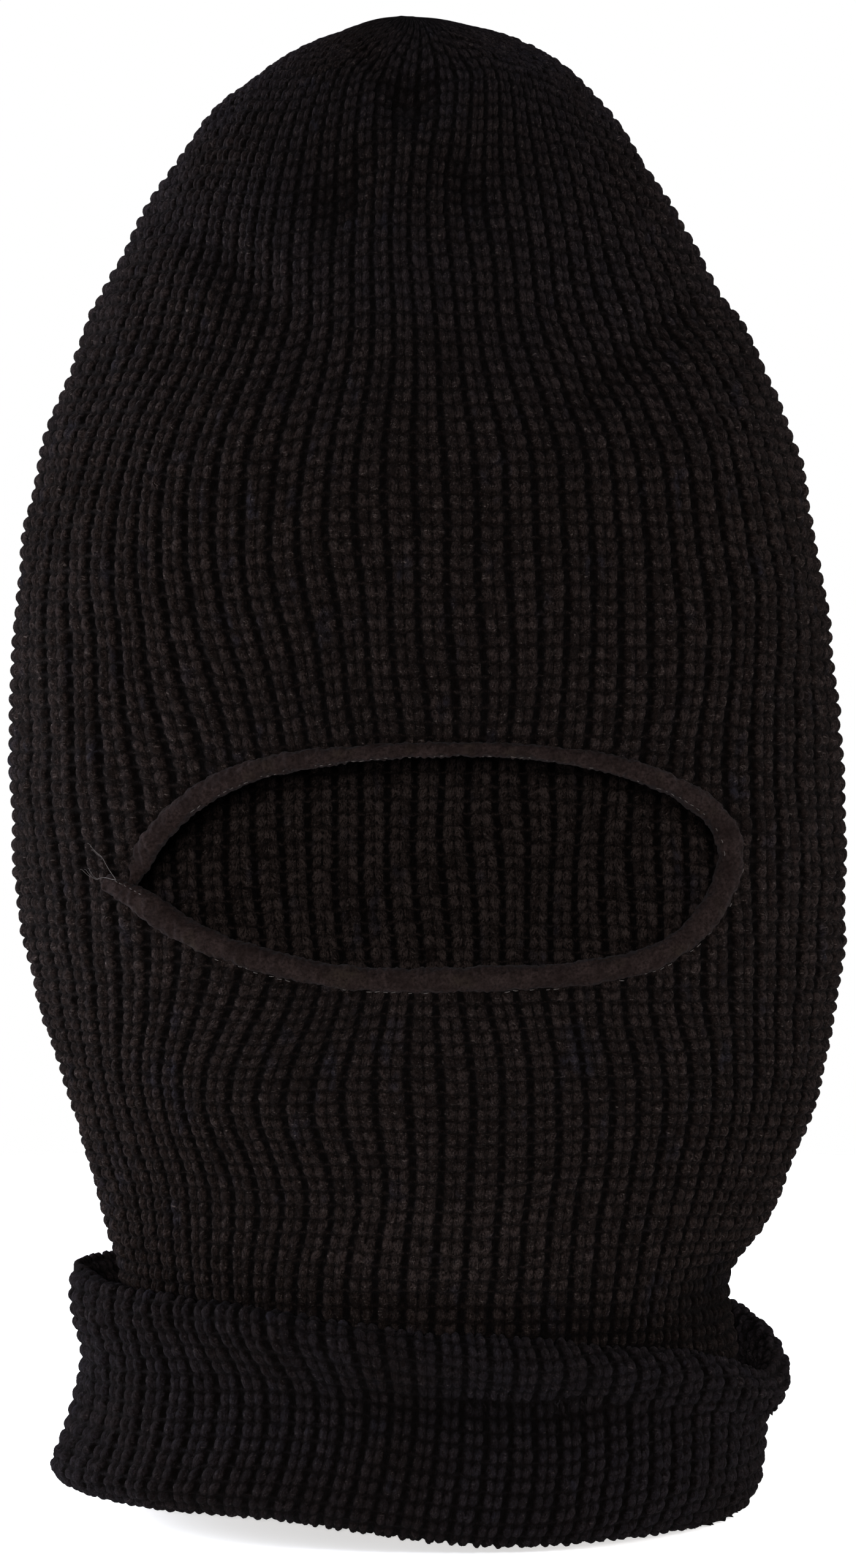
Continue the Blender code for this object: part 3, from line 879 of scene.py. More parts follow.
def make_cuff():
    """The turned-up cuff: one closed knitted loop of fabric with a rounded rim and an open pocket."""
    columns = WALES * COLUMNS
    wale = np.arange(columns) / COLUMNS
    share = wale / WALES
    inset, height, arc = cuff_grid(wale)
    unit_x, unit_y = section(share)
    half_width, half_depth = CUFF_HALF_WIDTH - inset, CUFF_HALF_DEPTH - inset
    x = CUFF_CENTRE_X + half_width * unit_x
    room = (1.0 - unit_x**2) * (unit_y < 0)
    sway = smooth_step(inset, *CUFF_OUTER) * cuff_sway(x, height) * room
    moved = np.clip((x + sway - CUFF_CENTRE_X) / half_width, -1, 1)
    x = np.where(room > 0, CUFF_CENTRE_X + moved * half_width, x)
    y = np.where(room > 0, -half_depth * front_depth(moved), half_depth * unit_y)
    smooth = np.stack([x, y, height], axis=-1)
    stitches, yarn = knit(np.broadcast_to(wale, inset.shape), arc / COURSE)
    wave = irregular(smooth, CUFF_WAVES) * smooth_step(height, *CUFF_WAVES_RISE)
    lift = wave + PROUD - LEG_RISE * (1.0 - stitches)
    points = smooth + grid_normals(smooth, closed=True) * lift[..., None]
    points[..., 2] = np.maximum(points[..., 2], CUFF_FLOOR)
    # Painted shade: the stitch heights, darkened in the hollow under the rim, set how dark the yarn is
    # painted.
    relief_shade = stitches * cuff_shade(share, height)
    attributes = {"relief_shade": relief_shade.ravel(), "yarn": yarn.reshape(-1, 3)}
    return make_loop("neck_cuff_rib_knit", points, attributes)


def make_loop(name, points, attributes=None, flip=False):
    """An object from a grid of points that closes round both axes."""
    rows, columns = points.shape[:2]
    quads, j, i = grid_faces(rows, columns, 0, flip=flip, closed_rows=True)
    bake = bake_square(j, i, rows, columns, *BAKE_LOOP)
    return make_mesh(name, points.reshape(-1, 3), [quads], [bake], attributes)


# ---- the face binding ----
TAPE_HALF_WIDTH = 0.0028
TAPE_HALF_THICKNESS = 0.0030
TAPE_DEPTH = 0.0021  # of its middle below the hood's outer face
TAPE_STEPS = 900
TAPE_SIDES = 36
TAPE_SQUARE = 0.8  # power of its section: lower is squarer
TAPE_CORNER_SMOOTHING = math.radians(3.0)
TAPE_NARROW = 0.40  # how much narrower it shows along the top, where it has rolled inwards
TAPE_NARROW_PLACE = (0.28, 0.14)  # where along it that is, and how far to both sides
TAPE_BEND_PASSES = 120
TAPE_PUCKER = 0.00012  # height of the puckers between its stitches
TAPE_NAP = ((0.00018, 0.0017, 32, 12), (0.00012, 0.0042, 33, 7))  # height, wavelength, seed, waves
LINE_STEP = 0.0002
UPPER_CUT = 0.0050  # how far before the corner the tape's upper end leaves the opening
UPPER_END = 0.0075  # how far it runs on from there, underneath
UPPER_HEADING = np.array([-0.45, -0.89])
LOWER_CUT = 0.0080  # the same for its lower end, which lies on top
LOWER_END = 0.0110
LOWER_HEADING = np.array([-0.89, 0.45])
STITCH_STEP = 0.0019
STITCH_LENGTH = 0.0011
STITCH_RADIUS = 0.00010
STITCH_BOW = 0.00018  # how far a stitch stands up in its middle
STITCH_STRAY = 0.00018  # how far it may lie off its row,
STITCH_TURN = 0.22  # how far it may be turned
STITCH_VARIES = (0.6, 1.25)  # and its shortest and longest length
STITCHES_FROM, STITCHES_TO = 0.09, 0.46  # the part of the line where the top's stitches show
STITCHES_ABOVE = 0.92  # the share of stitches that show there
STITCHES_BELOW = 0.40  # and elsewhere
STITCHES_ENDS = 0.06  # the share of the line next to the corner that has none
STITCH_INNER = -0.0025  # of the stitches along the top, outwards from the tape's middle
STITCH_OUTER = 0.0029  # of those along the bottom
UNDERSIDE_SPREAD = 0.60  # how far apart the rows are on the inside, against the outside
NEEDLE_HEIGHT, BOBBIN_HEIGHT = -0.0004, -0.0047  # of the two rows, from the hood's outer face
TACK_PLACES = (0.0030, 0.0042, 0.0056, 0.0069, 0.0081, 0.0093)  # distances from the tape's lower end
TACK_SIDE, TACK_HEIGHT = -0.0020, 0.0016  # from the tape's middle line, on the hood's face
TACK_BOW = 0.0002
TACK_TURN = (-0.5, 0.3)
TACK_VARIES = (0.5, 1.1)
TACK_LINE_STEP = 0.0003
NEEDLE_SEED, BOBBIN_SEED, TACK_SEED = 51, 52, 71
TAPE_OVERLAP = (0.020, 0.009)  # distances from the lower end over which the tape rises on top
TAPE_UNDER = (0.012, 0.004)  # and from the upper end over which it goes underneath
OVERLAP_RISE, UNDER_SINK = 0.0019, 0.0012  # by which the ends lie higher and lower there
OVERLAP_THIN = 0.35  # and how much thinner both of them are
TAPE_UNEVEN = 0.07  # how much the tape's width varies,
TAPE_UNEVEN_LENGTH, TAPE_UNEVEN_SEED = 0.010, 31
LOWER_TIP, LOWER_GAIN = 0.70, 0.45  # its width at the lower tip, and what it gains
LOWER_GROWS = 0.012  # over this length
UPPER_TIP, UPPER_GAIN = 0.55, 0.45  # the same at the upper tip
TAPE_SLIM = 0.13  # how much narrower it is beyond the lower end,
TAPE_SLIM_PLACE = (0.010, 0.030)  # between these distances from it
FACE_PASSES = 6  # by which a line laid on the hood's face is softened


def face_surface(smooth):
    """A tree of the hood's smooth face, for laying pieces on it."""
    rows, columns = smooth.shape[:2]
    quads, _, _ = grid_faces(rows, columns, 0)
    return BVHTree.FromPolygons(smooth.reshape(-1, 3).tolist(), quads.tolist())


def on_face(tree, x, z):
    """The place on the hood's front at x, z and its outward normal."""
    place, normal, _, _ = tree.ray_cast(Vector((x, -FAR, z)), Vector((0, 1, 0)))
    normal = normal if normal.y < 0 else -normal
    return np.array(place), np.array(normal)


def opening_line():
    """x and z along the opening's edge: from the corner over the top and back along the bottom."""
    corner = OUTLINE_ANGLES[np.argmax(OUTLINE_MIDDLE * (np.cos(OUTLINE_ANGLES) < 0))]
    angles = corner - np.linspace(0.0, 2 * math.pi, 4 * OPENING_SAMPLES + 1)
    reach = gaussian_smooth(outline_reach(angles), angles[0] - angles[1], TAPE_CORNER_SMOOTHING)
    x = OPENING_CENTRE[0] + reach * np.cos(angles)
    z = OPENING_CENTRE[1] + reach * np.sin(angles)
    return np.stack([x, z], axis=1)


def resample(line, step=None, count=None):
    """Points evenly spaced along an open line, and their distances along it."""
    length = running_total(np.linalg.norm(np.diff(line, axis=0), axis=1))
    count = count or int(round(length[-1] / step)) + 1
    places = np.linspace(0.0, length[-1], count)
    return np.stack([np.interp(places, length, column) for column in line.T], axis=1), places


def tape_line():
    """The tape's middle line in x and z; near the corner its two ends run straight on and cross."""
    line, along = resample(opening_line(), step=LINE_STEP)
    line = line[(along > UPPER_CUT) & (along < along[-1] - LOWER_CUT)]
    share = np.linspace(0.0, 1.0, 40)[1:, None]
    start = line[0] + UPPER_END * share[::-1] * UPPER_HEADING
    end = line[-1] + LOWER_END * share * LOWER_HEADING
    line, _ = resample(np.concatenate([start, line, end]), step=LINE_STEP)
    return soften(line, TAPE_BEND_PASSES)


def frames_on_face(tree, line):
    """Places on the hood's face along a line in x and z, with tangent, side and normal there."""
    hits = [on_face(tree, x, z) for x, z in line]
    places = soften(np.array([place for place, _ in hits]), FACE_PASSES)
    normals = unit(soften(np.array([normal for _, normal in hits]), FACE_PASSES))
    tangents = unit(np.gradient(places, axis=0))
    return places, tangents, unit(np.cross(normals, tangents)), normals


def capped_tube(name, rings):
    """A closed mesh from an array of rings (step, side, xyz), with its bake layer."""
    steps, sides = rings.shape[:2]
    quads, j, i = grid_faces(steps, sides, 0, flip=True)
    around = np.arange(sides)
    after = (around + 1) % sides
    last = (steps - 1) * sides
    cap_first = np.stack([around, after, np.full(sides, steps * sides)], axis=1)
    cap_last = np.stack([last + after, last + around, np.full(sides, steps * sides + 1)], axis=1)
    bakes = [bake_square(j, i, steps, sides, *BAKE_TUBE)]
    bakes += [strip_bake(sides, *band)[:, :3] for band in BAKE_TUBE_CAPS]
    points = np.concatenate([rings.reshape(-1, 3), rings[:1].mean(axis=1), rings[-1:].mean(axis=1)])
    return make_mesh(name, points, [quads, cap_first, cap_last], bakes)


def tape_section(places, along):
    """Along the tape: its width against the usual one, its thickness and its depth."""
    from_end = along[-1] - along
    overlap = smooth_step(from_end, *TAPE_OVERLAP)
    under = smooth_step(along, *TAPE_UNDER)
    width = LOWER_TIP + LOWER_GAIN * smooth_step(from_end, 0.0, LOWER_GROWS)
    width = width * (1.0 + TAPE_UNEVEN * ripple(places, TAPE_UNEVEN_LENGTH, TAPE_UNEVEN_SEED))
    width = width * (UPPER_TIP + UPPER_GAIN * smooth_step(along, 0.0, UPPER_END))
    width = width * (1.0 - TAPE_SLIM * smooth_step(from_end, *TAPE_SLIM_PLACE))
    thickness = TAPE_HALF_THICKNESS * (1.0 - OVERLAP_THIN * overlap) * (1.0 - OVERLAP_THIN * under)
    return width, thickness, TAPE_DEPTH - OVERLAP_RISE * overlap + UNDER_SINK * under


def make_tape(tree):
    """Felt-like tape folded over the cut edge, its two ends overlapping at the corner."""
    line, along = resample(tape_line(), count=TAPE_STEPS)
    places, _, sides, normals = frames_on_face(tree, line)
    width, thickness, depth = tape_section(places, along)
    narrow = TAPE_NARROW * bump(along / along[-1], *TAPE_NARROW_PLACE)
    width = TAPE_HALF_WIDTH * (width * (1.0 - narrow))
    places = places - sides * (narrow * TAPE_HALF_WIDTH)[:, None]
    across, out = (signed_power(part, TAPE_SQUARE) for part in circle(TAPE_SIDES))
    rings = (
        places[:, None, :]
        + sides[:, None, :] * (across[None, :] * width[:, None])[..., None]
        + normals[:, None, :] * (out[None, :] * thickness[:, None] - depth[:, None])[..., None]
    )
    nap = sum(height * ripple(rings, length, seed, waves) for height, length, seed, waves in TAPE_NAP)
    pucker = TAPE_PUCKER * np.sin(along * 2 * math.pi / STITCH_STEP)
    edge = bump(across, -1.0, 0.35)[None, :] * pucker[:, None] * (out > -0.2)[None, :]
    outward = sides[:, None, :] * across[None, :, None] + normals[:, None, :] * out[None, :, None]
    return capped_tube("face_binding_tape", rings + outward * (nap + edge)[..., None])


# ---- threads ----
STITCH_ALONG = np.array([0.0, 0.12, 0.35, 0.65, 0.88, 1.0])
STITCH_GIRTH = np.array([0.45, 0.85, 1.0, 1.0, 0.85, 0.45])  # round off its two ends
STITCH_SIDES = 8
TAIL_RADIUS, FRAY_RADIUS = 0.00010, 0.00005
TAIL_CUTS = 9  # parts into which the CAD node's length is cut,
TAIL_PARTS = 4  # and how many of them show
TAIL_STEPS = 40
TAIL_ROOT = (-0.0008, 0.0004, -0.0008)  # of the tail, from the tack's middle
TAIL_WAVE = np.array([0.00035, 0.0001, 0.00045])
TAIL_TURNS = 9.0  # radians of those waves along it
TAIL_TAPER = 0.5  # how much thinner its tip is
FRAYS = 2  # loose fibres of one tail
FRAY_FROM = (14, 22)  # the steps between which they leave it
FRAY_STRAY = 0.0009  # how far they stray at their tips,
FRAY_AXES = [1.0, 0.3, 1.0]  # along each axis
FRAY_BEND = 1.5  # power of their bend: higher is later
FRAY_SIDES = 6
TAIL_SEEDS = (("upper", 61), ("lower", 62))
UP = np.array([0.0, 0.0, 1.0])
SIDEWAYS = np.array([1.0, 0.0, 0.0])
GATHER_TILT = 0.75  # of the crown's closure, forwards, in radians
GATHER_SINK = 0.0022  # how far its yarn is sunk in the hollow
GATHER_STEPS = 160
GATHER_TURNS = 2
GATHER_INSET = 0.0010  # of its middle line from the CAD node's rim
GATHER_NARROWS = 0.22  # how much narrower it ends than it starts
GATHER_RISE, GATHER_DROP = 0.0004, 0.0012  # its start's height, and how much lower it ends
PLY_TWIST = 7.0  # turns of the strand for each turn of the yarn
PLY_OFFSET, PLY_RADIUS = 0.00035, 0.00055
CHAIN_STEPS, CHAIN_SIDES = 1440, 12
CHAIN_LEAST, CHAIN_SWELL = 0.78, 0.26  # its thinnest radius, and what each link adds, of the CAD node's


def capsule_rings(start, end, bow):
    """Rings of a short stitch that bows out in its middle and rounds off at both ends."""
    axis = unit(end - start)
    side = unit(np.cross(axis, bow))
    up = np.cross(side, axis)
    rise = np.sin(math.pi * STITCH_ALONG)[:, None] * bow
    centres = start + STITCH_ALONG[:, None] * (end - start) + rise
    cosines, sines = circle(STITCH_SIDES)
    ring = cosines[:, None] * side + sines[:, None] * up
    return centres[:, None, :] + (STITCH_RADIUS * STITCH_GIRTH)[:, None, None] * ring[None, :, :]


def join_tubes(name, tubes):
    """One object from several arrays of rings, each a closed tube of its own."""
    made = [capped_tube(f"{name}_{k}", rings) for k, rings in enumerate(tubes)]
    bpy.ops.object.select_all(action="DESELECT")
    for thing in made:
        thing.select_set(True)
    bpy.context.view_layer.objects.active = made[0]
    bpy.ops.object.join()
    made[0].name = name
    return made[0]


def many_tubes(name, tubes):
    """The same for tubes with equal numbers of points, each in a bake cell of its own."""
    made = join_tubes(name, tubes)
    made.data.name = name
    count = len(tubes)
    layer = made.data.uv_layers["OFBake"]
    uv = np.empty(len(layer.data) * 2, np.float32)
    layer.data.foreach_get("uv", uv)
    cells = math.ceil(math.sqrt(count))
    k = np.arange(count)
    corner = np.stack([k % cells, k // cells], axis=1)[:, None, :]
    moved = (uv.reshape(count, -1, 2) * BAKE_CELL[0] + BAKE_CELL[1] + corner) / cells
    layer.data.foreach_set("uv", moved.astype(np.float32).ravel())
    return made


def make_stitches(name, tree, height, seed, spread):
    """A row of short stitches: at the tape's inner edge along the top, at its outer edge below."""
    source = np.random.default_rng(seed)
    line, _ = resample(opening_line(), step=STITCH_STEP)
    frames = list(zip(*frames_on_face(tree, line)))
    tubes = []
    for k, (place, tangent, side, normal) in enumerate(frames):
        share = k / len(frames)
        shown = STITCHES_ABOVE if STITCHES_FROM < share < STITCHES_TO else STITCHES_BELOW
        if source.uniform() > shown or abs(share - 0.5) > 0.5 - STITCHES_ENDS:
            continue
        offset = (STITCH_INNER if share < 0.5 else STITCH_OUTER) * spread
        middle = place + side * (offset + source.uniform(-STITCH_STRAY, STITCH_STRAY)) + normal * height
        heading = tangent + side * source.uniform(-STITCH_TURN, STITCH_TURN)
        half = heading * STITCH_LENGTH / 2 * source.uniform(*STITCH_VARIES)
        tubes.append(capsule_rings(middle - half, middle + half, normal * STITCH_BOW))
    return many_tubes(name, tubes)


def make_tack(tree):
    """The tack that holds the tape's ends: short stitches along the edge of the end that lies on top."""
    source = np.random.default_rng(TACK_SEED)
    line, along = resample(tape_line(), step=TACK_LINE_STEP)
    places, tangents, sides, normals = frames_on_face(tree, line)
    tubes = []
    for from_end in TACK_PLACES:
        k = np.searchsorted(along, along[-1] - from_end)
        middle = places[k] + sides[k] * TACK_SIDE + normals[k] * TACK_HEIGHT
        heading = tangents[k] + sides[k] * source.uniform(*TACK_TURN)
        half = heading * STITCH_LENGTH / 2 * source.uniform(*TACK_VARIES)
        tubes.append(capsule_rings(middle - half, middle + half, normals[k] * TACK_BOW))
    return many_tubes("corner_tack_stitches", tubes)


def tube_along(centres, radii, sides=10):
    """Rings of a thin tube that follows points, with a radius at each."""
    tangents = unit(np.gradient(centres, axis=0))
    reference = UP if abs(tangents[0][2]) < 0.9 else SIDEWAYS
    cosines, sines = circle(sides)
    rings = []
    for centre, tangent, radius in zip(centres, tangents, radii):
        side = unit(np.cross(tangent, reference))
        reference = np.cross(side, tangent)
        rings.append(centre + radius * (cosines[:, None] * side + sines[:, None] * reference))
    return np.array(rings)


def make_thread_tail(name, node, seed):
    """A loose end of sewing thread, wavy and frayed to a thin tip, where its CAD node lies."""
    points = np.array([tuple(v.co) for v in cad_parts[node].data.vertices])
    tack, _ = middle_and_half("binding_corner_tack")
    order = np.argsort(np.linalg.norm(points - tack, axis=1))
    parts = np.array_split(order, TAIL_CUTS)[:TAIL_PARTS]
    centres = np.array([tack + TAIL_ROOT] + [points[part].mean(axis=0) for part in parts])
    centres, along = resample(centres, count=TAIL_STEPS)
    source = np.random.default_rng(seed)
    phases = source.uniform(0, 2 * math.pi, 3)
    share = (along / along[-1])[:, None]
    centres = centres + TAIL_WAVE * np.sin(share * TAIL_TURNS + phases) * share
    strands = [tube_along(centres, TAIL_RADIUS * (1.0 - TAIL_TAPER * share[:, 0]))]
    for _ in range(FRAYS):
        begin = source.integers(*FRAY_FROM)
        drift = source.normal(scale=FRAY_STRAY, size=3) * FRAY_AXES
        part = centres[begin:]
        bend = np.linspace(0, 1, len(part))[:, None] ** FRAY_BEND
        strands.append(tube_along(part + drift * bend, np.full(len(part), FRAY_RADIUS), FRAY_SIDES))
    return join_tubes(name, strands)


def make_gather():
    """The yarn drawn tight round the crown's closure: two turns of a twisted strand."""
    middle, size = middle_and_half("crown_gather_yarn")
    normal = np.array([0.0, -math.sin(GATHER_TILT), math.cos(GATHER_TILT)])
    up = np.cross(normal, SIDEWAYS)
    turn = np.linspace(0.0, GATHER_TURNS * 2 * math.pi, GATHER_STEPS)[:, None]
    share = turn / turn[-1]
    radius = (size[0] - GATHER_INSET) * (1.0 - GATHER_NARROWS * share)
    centres = (
        middle
        + np.cos(turn) * radius * SIDEWAYS
        + np.sin(turn) * radius * up
        + (GATHER_RISE - GATHER_DROP * share - GATHER_SINK) * normal
    )
    strands = []
    for ply in (0.0, math.pi):
        twist = turn * PLY_TWIST + ply
        ply_side = SIDEWAYS * np.cos(twist) + normal * np.sin(twist)
        strands.append(tube_along(centres + PLY_OFFSET * ply_side, np.full(len(turn), PLY_RADIUS)))
    return many_tubes("crown_gather_strand", strands)


def make_bindoff():
    """The chain of the bound-off edge inside the cuff's pocket."""
    middle, size = middle_and_half("cuff_bindoff_edge")
    radius = size[2]
    share = np.arange(CHAIN_STEPS) / CHAIN_STEPS
    unit_x, unit_y = section(share)
    level = np.full(CHAIN_STEPS, middle[2])
    across = middle[0] + (size[0] - radius) * unit_x
    centres = np.stack([across, (size[1] - radius) * unit_y, level], axis=1)
    link = np.abs(np.sin(share * math.pi * 2 * WALES))[:, None]
    reach = radius * (CHAIN_LEAST + CHAIN_SWELL * link)
    outward = unit(np.stack([unit_x, unit_y, np.zeros(CHAIN_STEPS)], axis=1))
    cosines, sines = circle(CHAIN_SIDES)
    points = (
        centres[:, None, :]
        + (reach * cosines)[..., None] * outward[:, None, :]
        + (reach * sines)[..., None] * UP
    )
    return make_loop("cuff_bindoff_chain", points, flip=True)


# ---- materials ----
MIX_A, MIX_B, MIX_RESULT = 6, 7, 2  # the colour sockets of a Mix node


class Fabric:
    """A fabric's material, and short ways to add nodes to it; each gives the new node's output."""

    def __init__(self, name, roughness, sheen):
        self.material = bpy.data.materials.new(name)
        self.material.use_nodes = True
        self.tree = self.material.node_tree
        self.shader = self.tree.nodes["Principled BSDF"].inputs
        self.shader["Roughness"].default_value = roughness
        self.shader["Specular IOR Level"].default_value = 0.01
        self.shader["Sheen Weight"].default_value = sheen
        self.shader["Sheen Roughness"].default_value = 0.45
        self.shader["Sheen Tint"].default_value = (0.80, 0.82, 0.90, 1.0)

    def add(self, kind, output, inputs, **settings):
        """Adds a node; inputs gives each socket a constant or another node's output."""
        node = self.tree.nodes.new(f"ShaderNode{kind}")
        for key, value in settings.items():
            setattr(node, key, value)
        for key, value in inputs.items():
            if isinstance(value, bpy.types.NodeSocket):
                self.tree.links.new(value, node.inputs[key])
            else:
                node.inputs[key].default_value = value
        return node.outputs[output]

    def place(self):
        return self.add("TexCoord", "Object", {})

    def attribute(self, name, output):
        return self.add("Attribute", output, {}, attribute_name=name)

    def part(self, vector, axis):
        return self.add("SeparateXYZ", axis, {"Vector": vector})

    def noise(self, vector, scale, detail=3.0, roughness=0.6):
        inputs = {"Vector": vector, "Scale": scale, "Detail": detail, "Roughness": roughness}
        return self.add("TexNoise", "Fac", inputs)

    def stretched(self, vector, scale, turn=0.0):
        """The vector scaled per axis and turned in its first two axes."""
        return self.add("Mapping", "Vector", {"Vector": vector, "Scale": scale, "Rotation": (0, 0, turn)})

    def ramp(self, fac, low, high, dark=0.0, light=1.0):
        """Fac mapped from low..high to dark..light, and clamped."""
        inputs = {"Value": fac, "From Min": low, "From Max": high, "To Min": dark, "To Max": light}
        return self.add("MapRange", "Result", inputs)

    def calculate(self, operation, a, b=0.0):
        return self.add("Math", 0, {0: a, 1: b}, operation=operation)

    def multiply(self, a, b):
        return self.calculate("MULTIPLY", a, b)

    def mix(self, fac, dark, light):
        """Between two colours, each a tuple or another node's output."""
        dark, light = ((*c, 1.0) if isinstance(c, tuple) else c for c in (dark, light))
        inputs = {"Factor": fac, MIX_A: dark, MIX_B: light}
        return self.add("Mix", MIX_RESULT, inputs, data_type="RGBA")

    def finish(self, colour, roughness, height, strength, distance):
        """Links the colour, roughness and bump to the shader, and gives the material."""
        bump_inputs = {"Height": height, "Strength": strength, "Distance": distance}
        normal = self.add("Bump", "Normal", bump_inputs)
        for key, value in (("Base Color", colour), ("Roughness", roughness), ("Normal", normal)):
            self.tree.links.new(value, self.shader[key])
        return self.material


def stitch_mask(fabric, yarn, place):
    """1 on the round bead of each stitch and 0 in the grooves, with fuzzy, uneven edges."""
    wale_place, course_place = fabric.part(yarn, "X"), fabric.part(yarn, "Y")
    stray_across = fabric.noise(place, 620.0, 3.0, 0.65)
    stray_along = fabric.noise(fabric.stretched(place, (1.0, 1.0, 1.3)), 540.0, 3.0, 0.65)
    across = fabric.calculate("ADD", wale_place, fabric.ramp(stray_across, 0.2, 0.8, -0.10, 0.10))
    along = fabric.calculate("ADD", course_place, fabric.ramp(stray_along, 0.2, 0.8, -0.26, 0.26))
    side = fabric.calculate("DIVIDE", fabric.calculate("SUBTRACT", across, LEG_AT), LEG_HALF)
    saw = fabric.calculate("FRACT", along)
    tip = fabric.calculate("SUBTRACT", fabric.multiply(saw, 2.0), 1.0)
    tip = fabric.multiply(fabric.multiply(tip, tip), BEAD_PINCH)
    fall = fabric.calculate("ADD", fabric.multiply(side, side), tip)
    crease = fabric.ramp(wale_place, 0.02, 0.12, 0.28, 0.0)
    bead = fabric.ramp(fabric.calculate("SUBTRACT", fall, crease), 1.10, 0.35)
    bridge = fabric.ramp(tip, 0.35 * BEAD_PINCH, BEAD_PINCH, 0.0, 0.55)
    return fabric.calculate("MAXIMUM", bead, bridge)


def drifting(fabric, yarn, place):
    """The yarn's coordinates, bent a little by noise so that its fibres don't run straight."""
    drift = fabric.noise(place, 420.0, 2.0)
    across = fabric.ramp(drift, 0.2, 0.8, -0.10, 0.10)
    along = fabric.ramp(drift, 0.2, 0.8, 0.16, -0.16)
    spread = fabric.add("CombineXYZ", "Vector", {"X": across, "Y": along})
    return fabric.add("VectorMath", "Vector", {0: yarn, 1: spread}, operation="ADD")


# A strength below 1 paints shade over the whole piece, as on the cuff.
def knit_material(name, strength, coolness):
    """Black woolly yarn: round fuzzy beads, uneven dye, and painted light and shade: shade in the
    grooves, folds and on the cuff, highlights on fine fibres, light on the inner face and neck, cool
    light at the crown.
    """
    fabric = Fabric(name, roughness=0.85, sheen=0.006)
    yarn = fabric.attribute("yarn", "Vector")
    relief_shade = fabric.attribute("relief_shade", "Fac")
    painted_light = fabric.attribute("painted_light", "Fac")
    place = fabric.place()
    bent = drifting(fabric, yarn, place)
    fibres = fabric.noise(fabric.stretched(bent, (24.0, 3.4, 3.0), 0.35), 1.0, 4.0, 0.7)
    crossing = fabric.noise(fabric.stretched(bent, (5.0, 13.0, 3.0), 0.5), 1.0, 4.0, 0.7)
    patches = fabric.noise(place, 26.0, 3.0)
    cool = fabric.noise(fabric.stretched(place, (1.3, 1.0, 0.8)), 95.0, 2.0)
    stitch_tone = fabric.noise(fabric.stretched(yarn, (0.4, 0.6, 9.0)), 1.0, 0.0)
    tone = fabric.multiply(
        fabric.ramp(fibres, 0.40, 0.62), fabric.ramp(stitch_tone, 0.3, 0.7, 0.35, 1.5)
    )
    tone = fabric.multiply(tone, fabric.ramp(patches, 0.3, 0.7, 0.75, 1.2))
    # Painted light: the inner face and a ridge of the neck are painted lighter. Elsewhere the strength
    # sets the tone.
    tone = fabric.multiply(tone, fabric.ramp(painted_light, 0.0, 1.0, strength, INSIDE_PAINTED_LIGHT))
    colour = fabric.mix(tone, YARN_DARK, fabric.mix(painted_light, YARN_LIGHT, YARN_INSIDE_PAINTED_LIGHT))
    # Painted cool light: the yarn turns bluer towards the top of the crown.
    crown = fabric.ramp(fabric.part(place, "Z"), 0.25, 0.34, coolness, CROWN_COOL_LIGHT)
    crown = fabric.multiply(crown, fabric.ramp(patches, 0.38, 0.62, 0.3, 1.3))
    tint = fabric.calculate("MAXIMUM", fabric.ramp(cool, 0.60, 0.72, 0.0, 0.75), crown)
    colour = fabric.mix(fabric.multiply(tint, fabric.ramp(fibres, 0.35, 0.6)), colour, YARN_COOL)
    # Painted highlights: fine fibres that catch the light, dimmer where the strength paints shade.
    fibre_glint = fabric.multiply(
        fabric.ramp(crossing, 0.56, 0.68, 0.0, strength), fabric.ramp(fibres, 0.45, 0.58)
    )
    colour = fabric.mix(fibre_glint, colour, YARN_FIBRE_GLINT)
    # Painted shade: off the beads, and where the relief carries painted shade, the yarn darkens to the
    # groove colour.
    shade = fabric.multiply(stitch_mask(fabric, yarn, place), fabric.ramp(relief_shade, 0.0, 0.42))
    colour = fabric.mix(shade, YARN_GROOVE_SHADE, colour)
    return fabric.finish(colour, fabric.ramp(fibres, 0.3, 0.7, 0.78, 0.95), fibres, 0.9, 0.0008)


def tape_material():
    """Brushed felt-like binding tape, a little warmer and lighter than the knit."""
    fabric = Fabric("felt_binding_tape", roughness=0.92, sheen=0.012)
    place = fabric.place()
    nap = fabric.noise(place, 1300.0, 4.0, 0.8)
    cloud = fabric.noise(place, 240.0, 3.0, 0.6)
    dye = fabric.noise(place, 130.0, 2.0)
    tone = fabric.multiply(fabric.ramp(nap, 0.36, 0.68), fabric.ramp(cloud, 0.32, 0.66, 0.40, 1.40))
    colour = fabric.mix(tone, TAPE_DARK, TAPE_LIGHT)
    olive = fabric.multiply(fabric.ramp(dye, 0.55, 0.70, 0.0, 0.7), tone)
    colour = fabric.mix(olive, colour, TAPE_OLIVE)
    return fabric.finish(colour, fabric.ramp(nap, 0.3, 0.7, 0.85, 0.97), nap, 0.5, 0.0003)


def thread_material(name, dark, light):
    """Sewing thread or a loose strand, with its twist."""
    fabric = Fabric(name, roughness=0.7, sheen=0.03)
    turned = fabric.stretched(fabric.place(), (3000.0, 3000.0, 1200.0), 0.6)
    twist = fabric.noise(turned, 1.0, 2.0)
    colour = fabric.mix(fabric.ramp(twist, 0.35, 0.65), dark, light)
    return fabric.finish(colour, fabric.ramp(twist, 0.3, 0.7, 0.5, 0.7), twist, 0.4, 0.0001)


